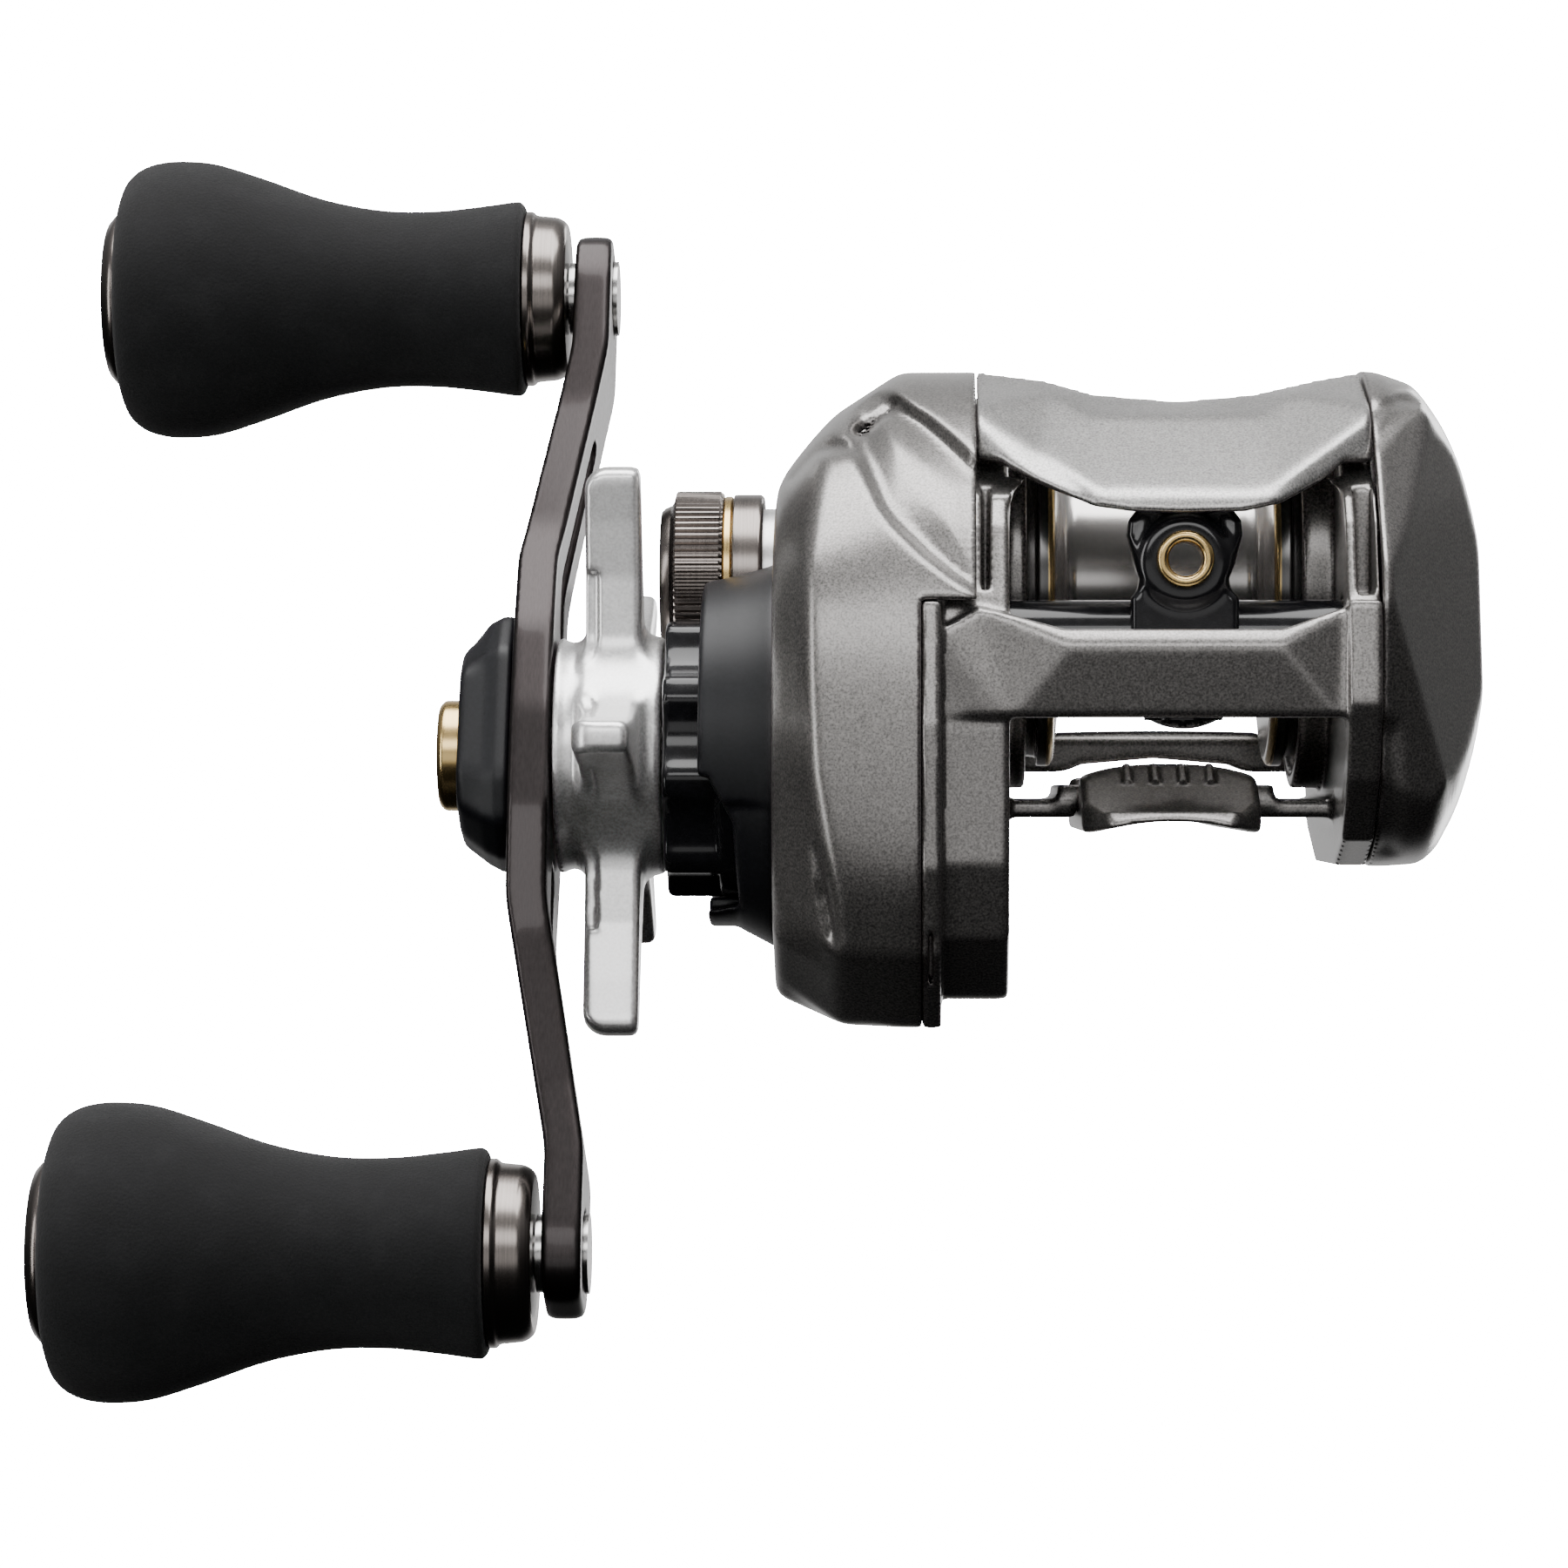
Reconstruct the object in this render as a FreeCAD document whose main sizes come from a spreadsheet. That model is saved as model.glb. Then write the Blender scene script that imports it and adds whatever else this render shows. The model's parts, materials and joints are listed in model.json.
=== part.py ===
import FreeCAD, Part
import math
import os
import re
import Sketcher

# A low-profile baitcasting reel. Millimetres, +Z up, -Y towards the rod tip,
# +X from the handle side to the palm side. The origin is the centre of the
# foot's underside. Every shaft lies along X.

doc = FreeCAD.newDocument("BaitcastReel")
V = FreeCAD.Vector
X_AXIS = V(1, 0, 0)
Y_AXIS = V(0, 1, 0)
Z_AXIS = V(0, 0, 1)

# ---------------------------------------------------------------- dimensions

DIMENSIONS = {
    "drive_y": -2.0,
    "drive_z": 6.8,
    "spool_y": 5.5,
    "spool_z": 22.9,
    "worm_y": -22.0,
    "worm_z": 17.0,
    "gear_face": -34.4,
    "gear_seam": -16.7,
    "frame_step": -21.4,
    "gear_wall_in": -13.9,
    "palm_wall_in": 14.8,
    "palm_seam": 17.7,
    "palm_face": 28.6,
    "seam_height": 19.9,
    "shell_wall": 1.5,
    "tooth_module": 0.5,
    "drive_teeth": 61,
    "pinion_teeth": 10,
    "wind_teeth": 36,
    "idler_teeth": 20,
    "worm_teeth": 18,
    "spool_radius": 17.0,
    "spool_half_width": 11.2,
    "spool_drum_radius": 10.5,
    "arm_reach": 48.0,
    "arm_angle": 26.0,
    "arm_outer": -58.1,
    "arm_thick": 3.7,
    "arm_sweep": 4.1,
    "star_reach": 26.5,
    "star_outer": -51.5,
    "star_thick": 4.6,
    "grip_outer": -97.4,
    "grip_length": 38.5,
    "grip_radius": 13.0,
    "knob_shaft_radius": 2.0,
    "cast_radius": 8.16,
    "eyelet_x": 1.15,
    "eyelet_z": 23.5,
    "eyelet_bore": 1.5,
    "foot_length": 60.0,
    "foot_width": 15.4,
    "saddle_rise": 1.05,
    "running_gap": 0.06,
}

sheet = doc.addObject("Spreadsheet::Sheet", "Sizes")
for row, (alias, value) in enumerate(DIMENSIONS.items(), start=1):
    sheet.set(f"A{row}", alias.replace("_", " "))
    sheet.set(f"B{row}", str(value))
    sheet.setAlias(f"B{row}", alias)
doc.recompute()


def size(alias):
    return float(getattr(sheet, alias))


def bound(text):
    """An expression that reads the named cells of the sheet."""
    return re.sub(r"\b([a-z]+(?:_[a-z]+)+)\b", r"Sizes.\1", str(text))


DRIVE = (size("drive_y"), size("drive_z"))
SPOOL = (size("spool_y"), size("spool_z"))
WORM = (size("worm_y"), size("worm_z"))
ARM_ANGLE = math.radians(size("arm_angle"))
GAP = size("running_gap")

# ------------------------------------------------------------ shared makers


def plane(body, role):
    return [item for item in body.Origin.OriginFeatures if item.Role == role][0]


def bind_place(item, centre):
    """Put an object's own X axis on the axis that two expressions name."""
    item.setExpression("Placement.Base.y", bound(centre[0]))
    item.setExpression("Placement.Base.z", bound(centre[1]))


AT_DRIVE = ("drive_y", "drive_z")
AT_SPOOL = ("spool_y", "spool_z")
AT_WORM = ("worm_y", "worm_z")
AT_KNOB = {
    "upper": (
        "drive_y + arm_reach * sin(arm_angle)",
        "drive_z + arm_reach * cos(arm_angle)",
    ),
    "lower": (
        "drive_y - arm_reach * sin(arm_angle)",
        "drive_z - arm_reach * cos(arm_angle)",
    ),
}


def turned(name, profile, centre):
    """A lathe-turned body: a closed profile of (x, radius) expressions spun about X."""
    body = doc.addObject("PartDesign::Body", name)
    body.Label = name
    sketch = body.newObject("Sketcher::SketchObject", name + "_profile")
    sketch.AttachmentSupport = [(plane(body, "XY_Plane"), "")]
    sketch.MapMode = "FlatFace"
    rules = [(bound(x), bound(radius)) for x, radius in profile]
    places = [(float(body.evalExpression(x)), float(body.evalExpression(r))) for x, r in rules]
    count = len(places)
    sides = []
    for index, place in enumerate(places):
        after = places[(index + 1) % count]
        sides.append(Part.LineSegment(V(place[0], place[1], 0), V(after[0], after[1], 0)))
    sketch.addGeometry(sides, False)
    joins = [Sketcher.Constraint("Coincident", i, 2, (i + 1) % count, 1) for i in range(count)]
    sketch.addConstraint(joins)
    for index, place in enumerate(places):
        along = sketch.addConstraint(Sketcher.Constraint("DistanceX", -1, 1, index, 1, place[0]))
        out = sketch.addConstraint(Sketcher.Constraint("DistanceY", -1, 1, index, 1, place[1]))
        sketch.setExpression(f"Constraints[{along}]", rules[index][0])
        sketch.setExpression(f"Constraints[{out}]", rules[index][1])
    spin = body.newObject("PartDesign::Revolution", name + "_turning")
    spin.Profile = sketch
    spin.ReferenceAxis = (sketch, ["H_Axis"])
    spin.Angle = 360
    bind_place(body, centre)
    return body


def tube(name, start, end, outer, inner, centre):
    """A plain ring or bush."""
    return turned(name, [(start, inner), (start, outer), (end, outer), (end, inner)], centre)


def feature(name, shape, place=FreeCAD.Placement()):
    item = doc.addObject("Part::Feature", name)
    item.Label = name
    item.Shape = shape
    item.Placement = place
    return item


def swing_place():
    """Turns a piece drawn along Z about the drive shaft, to the handle's resting angle."""
    turn = FreeCAD.Rotation(X_AXIS, -size("arm_angle"))
    return FreeCAD.Placement(V(0, DRIVE[0], DRIVE[1]), turn)


def rod(start, end, radius, centre):
    """A cylinder along X, as a plain shape."""
    return Part.makeCylinder(radius, end - start, V(start, centre[0], centre[1]), X_AXIS)


def washer(start, end, outer, inner, centre):
    """A flat ring about an X axis, as a plain shape."""
    return rod(start, end, outer, centre).cut(rod(start - 1, end + 1, inner, centre))


def block(low, high):
    return Part.makeBox(high[0] - low[0], high[1] - low[1], high[2] - low[2], V(*low))


def outline_face(points, x):
    corners = [V(x, y, z) for y, z in points]
    return Part.Face(Part.makePolygon(corners + corners[:1]))


def slab(points, start, end):
    """A plate of the given side outline between two x planes."""
    return outline_face(points, start).extrude(V(end - start, 0, 0))


def triangle(a, b, c):
    return Part.Face(Part.makePolygon([a, b, c, a]))


def lofted(stations):
    """A solid of flat facets through side outlines, given as (x, points) with matching corners."""
    rings = [[V(x, y, z) for y, z in points] for x, points in stations]
    faces = [Part.Face(Part.makePolygon(ring + ring[:1])) for ring in (rings[0], rings[-1])]
    for near, far in zip(rings, rings[1:]):
        for index in range(len(near)):
            after = (index + 1) % len(near)
            faces.append(triangle(near[index], near[after], far[after]))
            faces.append(triangle(near[index], far[after], far[index]))
    solid = Part.Solid(Part.Shell(faces))
    if solid.Volume < 0:
        solid.reverse()
    return solid.removeSplitter()


def inset(points, depth):
    """The outline moved inwards by a depth; the points run clockwise from the nose up."""
    count = len(points)
    moved = []
    for index in range(count):
        before = points[index - 1]
        here = points[index]
        after = points[(index + 1) % count]
        first = unit(here[0] - before[0], here[1] - before[1])
        second = unit(after[0] - here[0], after[1] - here[1])
        normal_a = (first[1], -first[0])
        normal_b = (second[1], -second[0])
        total = (normal_a[0] + normal_b[0], normal_a[1] + normal_b[1])
        share = 1 + normal_a[0] * normal_b[0] + normal_a[1] * normal_b[1]
        moved.append((here[0] + total[0] * depth / share, here[1] + total[1] * depth / share))
    return moved


def unit(across, up):
    length = math.hypot(across, up)
    return across / length, up / length


def joined(shapes):
    result = shapes[0]
    for shape in shapes[1:]:
        result = result.fuse(shape)
    return result.removeSplitter()


def around(centre, radius, count, first=0.0):
    """Points evenly spaced on a circle about an X axis, from an angle in degrees."""
    places = []
    for index in range(count):
        turn = math.radians(first + 360.0 * index / count)
        places.append((centre[0] + radius * math.cos(turn), centre[1] + radius * math.sin(turn)))
    return places


# -------------------------------------------------------------------- gears

PRESSURE = math.radians(20.0)
TOOTH_PLAY = 0.05
FLANK_STEPS = 6


def involute(angle):
    return math.tan(angle) - angle


def gear_outline(teeth, shift, phase):
    """Points of a spur gear about the origin; phase is the angle of one tooth's centre."""
    module = size("tooth_module")
    pitch = module * teeth / 2
    base = pitch * math.cos(PRESSURE)
    tip = pitch + module * (1 + shift)
    root = pitch - module * (1.25 - shift)
    thick = module * (math.pi / 2 + 2 * shift * math.tan(PRESSURE)) - TOOTH_PLAY
    half = thick / (2 * pitch) + involute(PRESSURE)
    first = max(base, root)
    points = []
    for tooth in range(teeth):
        centre = phase + 2 * math.pi * tooth / teeth
        flank = []
        for step in range(FLANK_STEPS + 1):
            radius = first + (tip - first) * step / FLANK_STEPS
            turn = half - involute(math.acos(min(1.0, base / radius)))
            flank.append((radius, turn))
        if root < base:
            flank.insert(0, (root, flank[0][1]))
        for radius, turn in flank:
            points.append((radius * math.cos(centre - turn), radius * math.sin(centre - turn)))
        for radius, turn in reversed(flank):
            points.append((radius * math.cos(centre + turn), radius * math.sin(centre + turn)))
    return points


def gear_solid(teeth, shift, phase, centre, start, end):
    points = [(centre[0] + y, centre[1] + z) for y, z in gear_outline(teeth, shift, phase)]
    return slab(points, start, end)


def meshed_phase(phase, teeth, partner_teeth, bearing):
    """The partner's tooth angle that drops its tooth into this gear's gap, along a bearing."""
    share = (bearing - phase) * teeth / (2 * math.pi)
    return bearing + math.pi - (2 * math.pi / partner_teeth) * (0.5 - share)


def bearing_between(start, end):
    return math.atan2(end[1] - start[1], end[0] - start[0])


def idler_place():
    """The idler's axis: touching both the winding gear and the worm's gear, below their line."""
    module = size("tooth_module")
    near = module * (size("wind_teeth") + size("idler_teeth")) / 2
    far = module * (size("idler_teeth") + size("worm_teeth")) / 2
    gap = math.hypot(WORM[0] - DRIVE[0], WORM[1] - DRIVE[1])
    corner = math.acos((near ** 2 + gap ** 2 - far ** 2) / (2 * near * gap))
    turn = bearing_between(DRIVE, WORM) + corner
    return DRIVE[0] + near * math.cos(turn), DRIVE[1] + near * math.sin(turn)


IDLER = idler_place()
PINION_SHIFT = 0.4

# ------------------------------------------------------------ side outlines

# Each outline runs clockwise seen from -X: up the nose, back over the top, and
# forward again underneath. All have the same corners in the same order.

GEAR_SIDE = [
    (-31.2, 19.9), (-27.5, 28.0), (-20.0, 35.2), (-9.0, 40.2), (2.0, 41.5), (13.0, 40.2),
    (22.5, 35.0), (28.5, 26.0), (30.5, 14.0), (28.5, 2.0), (22.5, -8.5), (12.0, -15.0),
    (0.0, -17.0), (-19.0, -17.0), (-29.5, -10.5), (-32.0, -3.0), (-32.5, 9.0),
]
GEAR_SHOULDER = [
    (-28.7, 19.0), (-25.5, 25.5), (-19.5, 31.0), (-9.5, 35.0), (2.0, 36.2), (12.0, 35.2),
    (20.5, 31.0), (25.8, 23.5), (27.8, 13.0), (26.0, 2.0), (20.5, -8.5), (11.0, -14.8),
    (0.0, -17.0), (-17.0, -17.0), (-26.5, -10.5), (-29.0, -3.0), (-29.8, 8.0),
]
GEAR_OUTER = [
    (-23.0, 18.6), (-20.5, 23.0), (-15.5, 26.8), (-7.5, 29.3), (3.0, 30.0), (11.0, 29.0),
    (17.0, 26.0), (21.0, 20.0), (22.5, 12.0), (21.0, 2.5), (16.5, -6.0), (9.0, -11.0),
    (0.0, -13.0), (-13.0, -13.0), (-20.5, -8.0), (-23.0, -2.5), (-23.8, 7.5),
]
PALM_SIDE = [
    (-31.2, 19.9), (-27.5, 28.0), (-20.0, 35.2), (-9.0, 40.2), (2.0, 41.5), (13.0, 40.2),
    (22.5, 35.0), (29.0, 27.0), (31.5, 17.5), (29.5, 7.0), (24.0, 0.0), (13.0, -2.9),
    (0.0, -2.9), (-13.0, -2.9), (-22.0, -0.6), (-28.5, 4.5), (-31.8, 11.0),
]
PALM_SHOULDER = [
    (-29.0, 19.5), (-25.5, 26.5), (-18.5, 33.0), (-8.5, 37.2), (2.0, 38.2), (12.5, 37.0),
    (21.0, 32.0), (26.8, 25.0), (29.0, 17.0), (27.0, 8.0), (21.5, 1.5), (12.0, -2.0),
    (0.0, -2.4), (-12.0, -2.4), (-20.5, 0.0), (-26.5, 5.0), (-29.3, 11.0),
]
PALM_OUTER = [
    (-20.0, 20.0), (-17.0, 25.5), (-12.0, 29.8), (-5.5, 32.2), (2.0, 32.9), (9.5, 32.0),
    (16.0, 28.5), (20.0, 23.0), (21.0, 17.0), (19.0, 11.0), (14.5, 6.5), (8.0, 4.2),
    (0.0, 3.8), (-8.0, 4.2), (-14.0, 6.4), (-18.3, 10.0), (-20.3, 14.5),
]


# -------------------------------------------------------------- the frame


def make_frame():
    """One casting: the gear wall, the palm ring, the crossbar, the base and the rear bridge."""
    step = size("frame_step")
    wall_in = size("gear_wall_in")
    palm_in = size("palm_wall_in")
    seam = size("palm_seam")
    flange_end = step + 1.6
    covered = inset(GEAR_SIDE, 1.8)
    below = block((step, -40, -20), (flange_end, 40, size("seam_height") - 0.1))
    flange = slab(GEAR_SIDE, step, flange_end).common(below)
    plate = slab(covered, step, flange_end)
    wall = slab(inset(GEAR_SIDE, 2.2), flange_end, wall_in)
    wall = wall.cut(block((wall_in - 20, -40, -20), (wall_in, 40, -14.6)))
    palm_ring = slab(inset(PALM_SIDE, 1.8), palm_in, seam - 0.1)
    below_seam = block((palm_in, -40, -20), (seam, 40, size("seam_height") - 0.1))
    lower_ring = slab(PALM_SIDE, palm_in, seam - 0.1).common(below_seam)
    bar_outline = [
        (-27.4, 9.9), (-31.6, 9.9), (-32.4, 12.0), (-31.9, 16.4), (-30.9, 17.4), (-27.6, 17.4),
    ]
    bar = slab(bar_outline, flange_end, seam - 0.1)
    base_mid = block((-9.5, -13.0, 2.45), (9.5, 22.0, 4.2))
    base_left = block((wall_in - 1, -13.0, 1.3), (-7.9, 22.0, 2.9))
    base_right = block((7.9, -13.0, 1.3), (palm_in + 1, 22.0, 2.9))
    bridge_outline = [(23.0, 5.4), (27.6, 5.4), (27.6, 8.4), (26.6, 9.3), (23.8, 9.3), (23.0, 8.4)]
    bridge = slab(bridge_outline, wall_in - 1, palm_in + 1)
    posts = [rod(step - 4.9, step, 0.95, place) for place in YOKE_POSTS]
    pieces = [flange, plate, wall, palm_ring, lower_ring, bar, base_mid, base_left, base_right, bridge]
    body = joined(pieces + posts)
    cuts = [
        rod(wall_in - 0.35, wall_in + 1, 17.5, SPOOL),
        rod(palm_in - 1, seam + 1, 17.4, SPOOL),
        rod(step - 1, wall_in + 1, 3.5, SPOOL),
        rod(step - 1, flange_end + 0.1, 5.2, DRIVE),
        rod(flange_end - 0.1, -16.9, 10.2, DRIVE),
        rod(-17.1, -14.6, 5.0, DRIVE),
        rod(flange_end - 0.1, -16.9, 6.1, IDLER),
        rod(flange_end - 0.1, -16.9, 5.7, WORM),
        rod(-17.1, wall_in + 1, 3.2, WORM),
        rod(palm_in - 1, seam - 1.0, 3.2, WORM),
        block((step - 1, 21.4, 9.3), (wall_in + 1, 27.6, 18.2)),
    ]
    cuts += [rod(step - 1, -18.0, 0.82, place) for place in COVER_SCREWS]
    for place in FOOT_SCREWS:
        cuts.append(Part.makeCylinder(1.25, 3.0, V(place[0], place[1], 2.0), Z_AXIS))
        cuts.append(Part.makeCylinder(2.2, 2.0, V(place[0], place[1], 3.3), Z_AXIS))
    for place in HOOD_SCREWS:
        cuts.append(Part.makeCylinder(0.82, 9.0, V(place[0], place[1], place[2] - 6.5), Z_AXIS))
        cuts.append(Part.makeCylinder(1.6, 4.0, V(place[0], place[1], place[2] + 0.5), Z_AXIS))
    cuts += [hood_shell(), hood_shell(0.15)]
    cuts.append(rod(palm_in + 0.5, seam + 1, 1.55, LOCK_SCREW))
    for cut in cuts:
        body = body.cut(cut)
    body = body.fuse(rod(-19.6, -16.5, 1.2, IDLER))
    feature("frame", body.removeSplitter())


YOKE_POSTS = [
    (SPOOL[0] + 8.16, SPOOL[1] - 3.80),
    (SPOOL[0] - 8.16, SPOOL[1] + 3.80),
]
COVER_SCREWS = [(-26.0, -5.5), (24.5, 21.0), (4.5, -13.0)]
FOOT_SCREWS = [(-4.0, -9.0), (4.0, -9.0), (-4.0, 18.0), (4.0, 18.0)]
HOOD_SCREWS = [(-15.0, -14.6, 35.4), (15.9, -14.6, 35.4)]
LOCK_SCREW = (8.0, 3.5)


def make_reel_foot():
    """The foot that sits in a rod's reel seat: a hollowed underside and two ramped toes."""
    half = size("foot_length") / 2
    width = size("foot_width") / 2
    ramp_outline = [
        (-half, 0.0), (-half, 1.1), (-half + 2.0, 1.6), (-15.6, 6.2), (-13.1, 6.2), (-13.1, 2.4),
        (22.1, 2.4), (22.1, 4.9), (24.4, 4.9), (half - 2.0, 1.6), (half, 1.1), (half, 0.0),
    ]
    corners = [V(-width, y, z) for y, z in ramp_outline]
    body = Part.Face(Part.makePolygon(corners + corners[:1])).extrude(V(2 * width, 0, 0))
    land = width - 1.0
    rise = size("saddle_rise")
    radius = (land ** 2 + rise ** 2) / (2 * rise)
    hollow = Part.makeCylinder(radius, 2 * half + 2, V(0, -half - 1, rise - radius), Y_AXIS)
    body = body.cut(hollow)
    for side in (-1, 1):
        for end in (-1, 1):
            body = body.cut(toe_corner(side * width, end * half))
    for place in FOOT_SCREWS:
        body = body.cut(Part.makeCylinder(1.0, 2.0, V(place[0], place[1], 1.0), Z_AXIS))
    feature("reel_foot", body.removeSplitter())


def toe_corner(x, y):
    """The corner of a toe that is cut away, as a triangle in plan."""
    inward_x = -math.copysign(2.6, x)
    inward_y = -math.copysign(5.0, y)
    out_x = math.copysign(1.0, x)
    out_y = math.copysign(1.0, y)
    corners = [
        V(x + inward_x, y + out_y, -1), V(x + out_x, y + out_y, -1), V(x + out_x, y + inward_y, -1),
        V(x, y + inward_y, -1), V(x + inward_x, y, -1),
    ]
    return Part.Face(Part.makePolygon(corners + corners[:1])).extrude(V(0, 0, 9))


def hood_shell(drop=0.0):
    """The saddle-shaped shell with its pointed front lip, lowered by a drop."""
    left = size("gear_seam") + 0.1
    right = size("palm_seam") - 0.1
    outer = [
        (-18.6, 32.6), (-19.9, 32.6), (-20.2, 35.0), (-9.2, 40.1), (-4.0, 41.0), (-4.0, 39.4),
        (-9.5, 38.3), (-18.4, 34.0),
    ]
    middle = [
        (-26.8, 27.3), (-28.4, 27.3), (-27.8, 29.3), (-15.5, 36.6), (-8.6, 38.7), (-8.6, 37.1),
        (-15.8, 34.9), (-26.6, 28.9),
    ]
    inner_left = left + 10.0
    inner_right = right - 10.0
    body = lofted([(left, outer), (inner_left, middle), (inner_right, middle), (right, outer)])
    return body.translated(V(0, 0, -drop))


def make_level_wind_hood():
    body = hood_shell()
    for place in HOOD_SCREWS:
        body = body.cut(Part.makeCylinder(0.9, 8.0, V(place[0], place[1], place[2] - 3.0), Z_AXIS))
        body = body.cut(Part.makeCylinder(1.6, 6.0, V(place[0], place[1], place[2] + 0.6), Z_AXIS))
    feature("level_wind_hood", body.removeSplitter())


def make_gear_side_cover():
    face = size("gear_face")
    seam = size("gear_seam")
    wall = size("shell_wall")
    step = size("frame_step")
    stations = [(seam, GEAR_SIDE), (-22.6, GEAR_SIDE), (-30.6, GEAR_SHOULDER), (face, GEAR_OUTER)]
    outer = lofted(stations)
    hollow = lofted([
        (seam + 1, inset(GEAR_SIDE, wall)),
        (-22.4, inset(GEAR_SIDE, wall)),
        (-30.0, inset(GEAR_SHOULDER, wall)),
        (face + wall, inset(GEAR_OUTER, 2 * wall)),
    ])
    body = outer.cut(hollow)
    body = body.cut(block((step, -40, -20), (seam + 1, 40, size("seam_height"))))
    lugs = [rod(-28.5, step, 2.3, place) for place in COVER_SCREWS]
    bearing_seat = rod(face + 0.5, -30.9, 5.2, SPOOL)
    body = joined([body, bearing_seat] + [lug.common(outer) for lug in lugs])
    cuts = [
        rod(face - 1, -30.5, 4.0, SPOOL),
        rod(face - 1, -32.0, 9.6, DRIVE),
    ]
    for place in COVER_SCREWS:
        cuts.append(rod(-36.0, step + 1, 0.9, place))
        cuts.append(rod(-36.0, -27.6, 1.75, place))
    for cut in cuts:
        body = body.cut(cut)
    feature("gear_side_cover", body.removeSplitter())


def screw(start, end, shank, head, head_length, centre):
    """A screw along X whose head is at its -X end."""
    body = rod(start, end, shank, centre).fuse(rod(start - head_length, start, head, centre))
    slot = block((start - head_length - 0.1, centre[0] - 0.3, centre[1] - head),
                 (start - head_length + 0.5, centre[0] + 0.3, centre[1] + head))
    return body.cut(slot)


def make_screws():
    covers = [screw(-27.6, -18.1, 0.8, 1.65, 1.3, place) for place in COVER_SCREWS]
    for x, y, z in HOOD_SCREWS:
        shank = Part.makeCylinder(0.8, 5.0, V(x, y, z - 4.4), Z_AXIS)
        head = Part.makeCylinder(1.5, 1.1, V(x, y, z + 0.6), Z_AXIS)
        slot = block((x - 2, y - 0.25, z + 1.3), (x + 2, y + 0.25, z + 2))
        covers.append(shank.fuse(head).cut(slot))
    feature("body_screws", Part.makeCompound(covers))
    feet = []
    for x, y in FOOT_SCREWS:
        shank = Part.makeCylinder(1.0, 2.2, V(x, y, 1.15), Z_AXIS)
        head = Part.makeCylinder(2.1, 0.85, V(x, y, 3.32), Z_AXIS)
        slot = block((x - 3, y - 0.3, 3.8), (x + 3, y + 0.3, 5))
        feet.append(shank.fuse(head).cut(slot))
    feature("foot_screws", Part.makeCompound(feet))


def make_shaft_boss():
    """The matt cover at the foot of the drive shaft, cut back for the cast control cap."""
    face = size("gear_face")
    cone = Part.makeCone(17.4, 15.6, 3.4, V(face, DRIVE[0], DRIVE[1]), V(-1, 0, 0))
    tower = rod(-41.1, face, 14.4, DRIVE)
    horn = slab(around(DRIVE, 17.2, 40), -41.1, face)
    horn = horn.common(block((-42, -40, 2.5), (face, DRIVE[0] + 4, 40)))
    horn = horn.common(Part.makeCone(15.6, 17.2, 6.7, V(-41.1, DRIVE[0], DRIVE[1]), X_AXIS))
    body = joined([cone, tower, horn])
    body = body.cut(rod(-42, face - 2.6, 12.85, DRIVE))
    body = body.cut(rod(-42, face + 1, 9.65, DRIVE))
    body = body.cut(rod(-42, face, 8.9, SPOOL))
    body = body.cut(block((-42, -40, -20), (face - 3.0, DRIVE[0] - 9.0, DRIVE[1] - 7.5)))
    feature("shaft_boss_cover", largest(body.removeSplitter()))


def largest(shape):
    return max(shape.Solids, key=lambda solid: solid.Volume)


def make_drag_drum():
    """The gloss drum round the one-way clutch."""
    body = rod(-44.4, -37.1, 12.7, DRIVE)
    body = body.cut(rod(-43.4, -36.0, 9.6, DRIVE))
    body = body.cut(rod(-45.0, -36.0, 6.0, DRIVE))
    body = body.cut(rod(-46, -36.0, 8.9, SPOOL))
    for place in around(DRIVE, 15.2, 9, 12.0):
        body = body.cut(rod(-43.6, -36.0, 3.3, place))
    feature("drag_drum", largest(body.removeSplitter()))


def make_root_fittings():
    """What stays still round the shafts: the one-way clutch, the bearings and the worm's guard."""
    rollers = [rod(-42.0, -36.6, 0.84, place) for place in around(DRIVE, 6.12, 10, 9.0)]
    race = washer(-42.4, -36.2, 9.58, 7.02, DRIVE)
    feature("roller_clutch", Part.makeCompound([race] + rollers))
    shaft_bearings = [washer(-35.9, -33.4, 9.5, 5.26, DRIVE), washer(-16.9, -14.7, 5.0, 2.53, DRIVE)]
    feature("drive_shaft_bearings", Part.makeCompound(shaft_bearings))
    spool_bearings = [washer(-38.3, -35.95, 4.0, 1.29, SPOOL), washer(-33.9, -31.3, 4.0, 1.86, SPOOL)]
    feature("spool_bearings", Part.makeCompound(spool_bearings))
    turned("cast_control_boss", [
        (-39.4, 4.05), (-39.4, 6.55), ("gear_face", 6.55), ("gear_face", 3.95),
        (-35.0, 3.95), (-35.0, 2.0), (-35.9, 2.0), (-35.9, 4.05),
    ], AT_SPOOL)
    guard = rod(-13.9, 14.8, 3.15, WORM).cut(rod(-15, 16, 2.7, WORM))
    slot = block((-11.6, WORM[0] - 1.1, WORM[1] - 4), (13.4, WORM[0] + 1.1, WORM[1]))
    feature("worm_guard_tube", guard.cut(slot).removeSplitter())
    left = rod(-16.8, -14.0, 3.2, WORM).cut(rod(-18, -13, 1.56, WORM))
    right = rod(14.9, 16.6, 3.2, WORM).cut(rod(14, 18, 1.56, WORM))
    feature("worm_bushes", Part.makeCompound([left, right]))


# --------------------------------------------------------------- palm side


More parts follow.
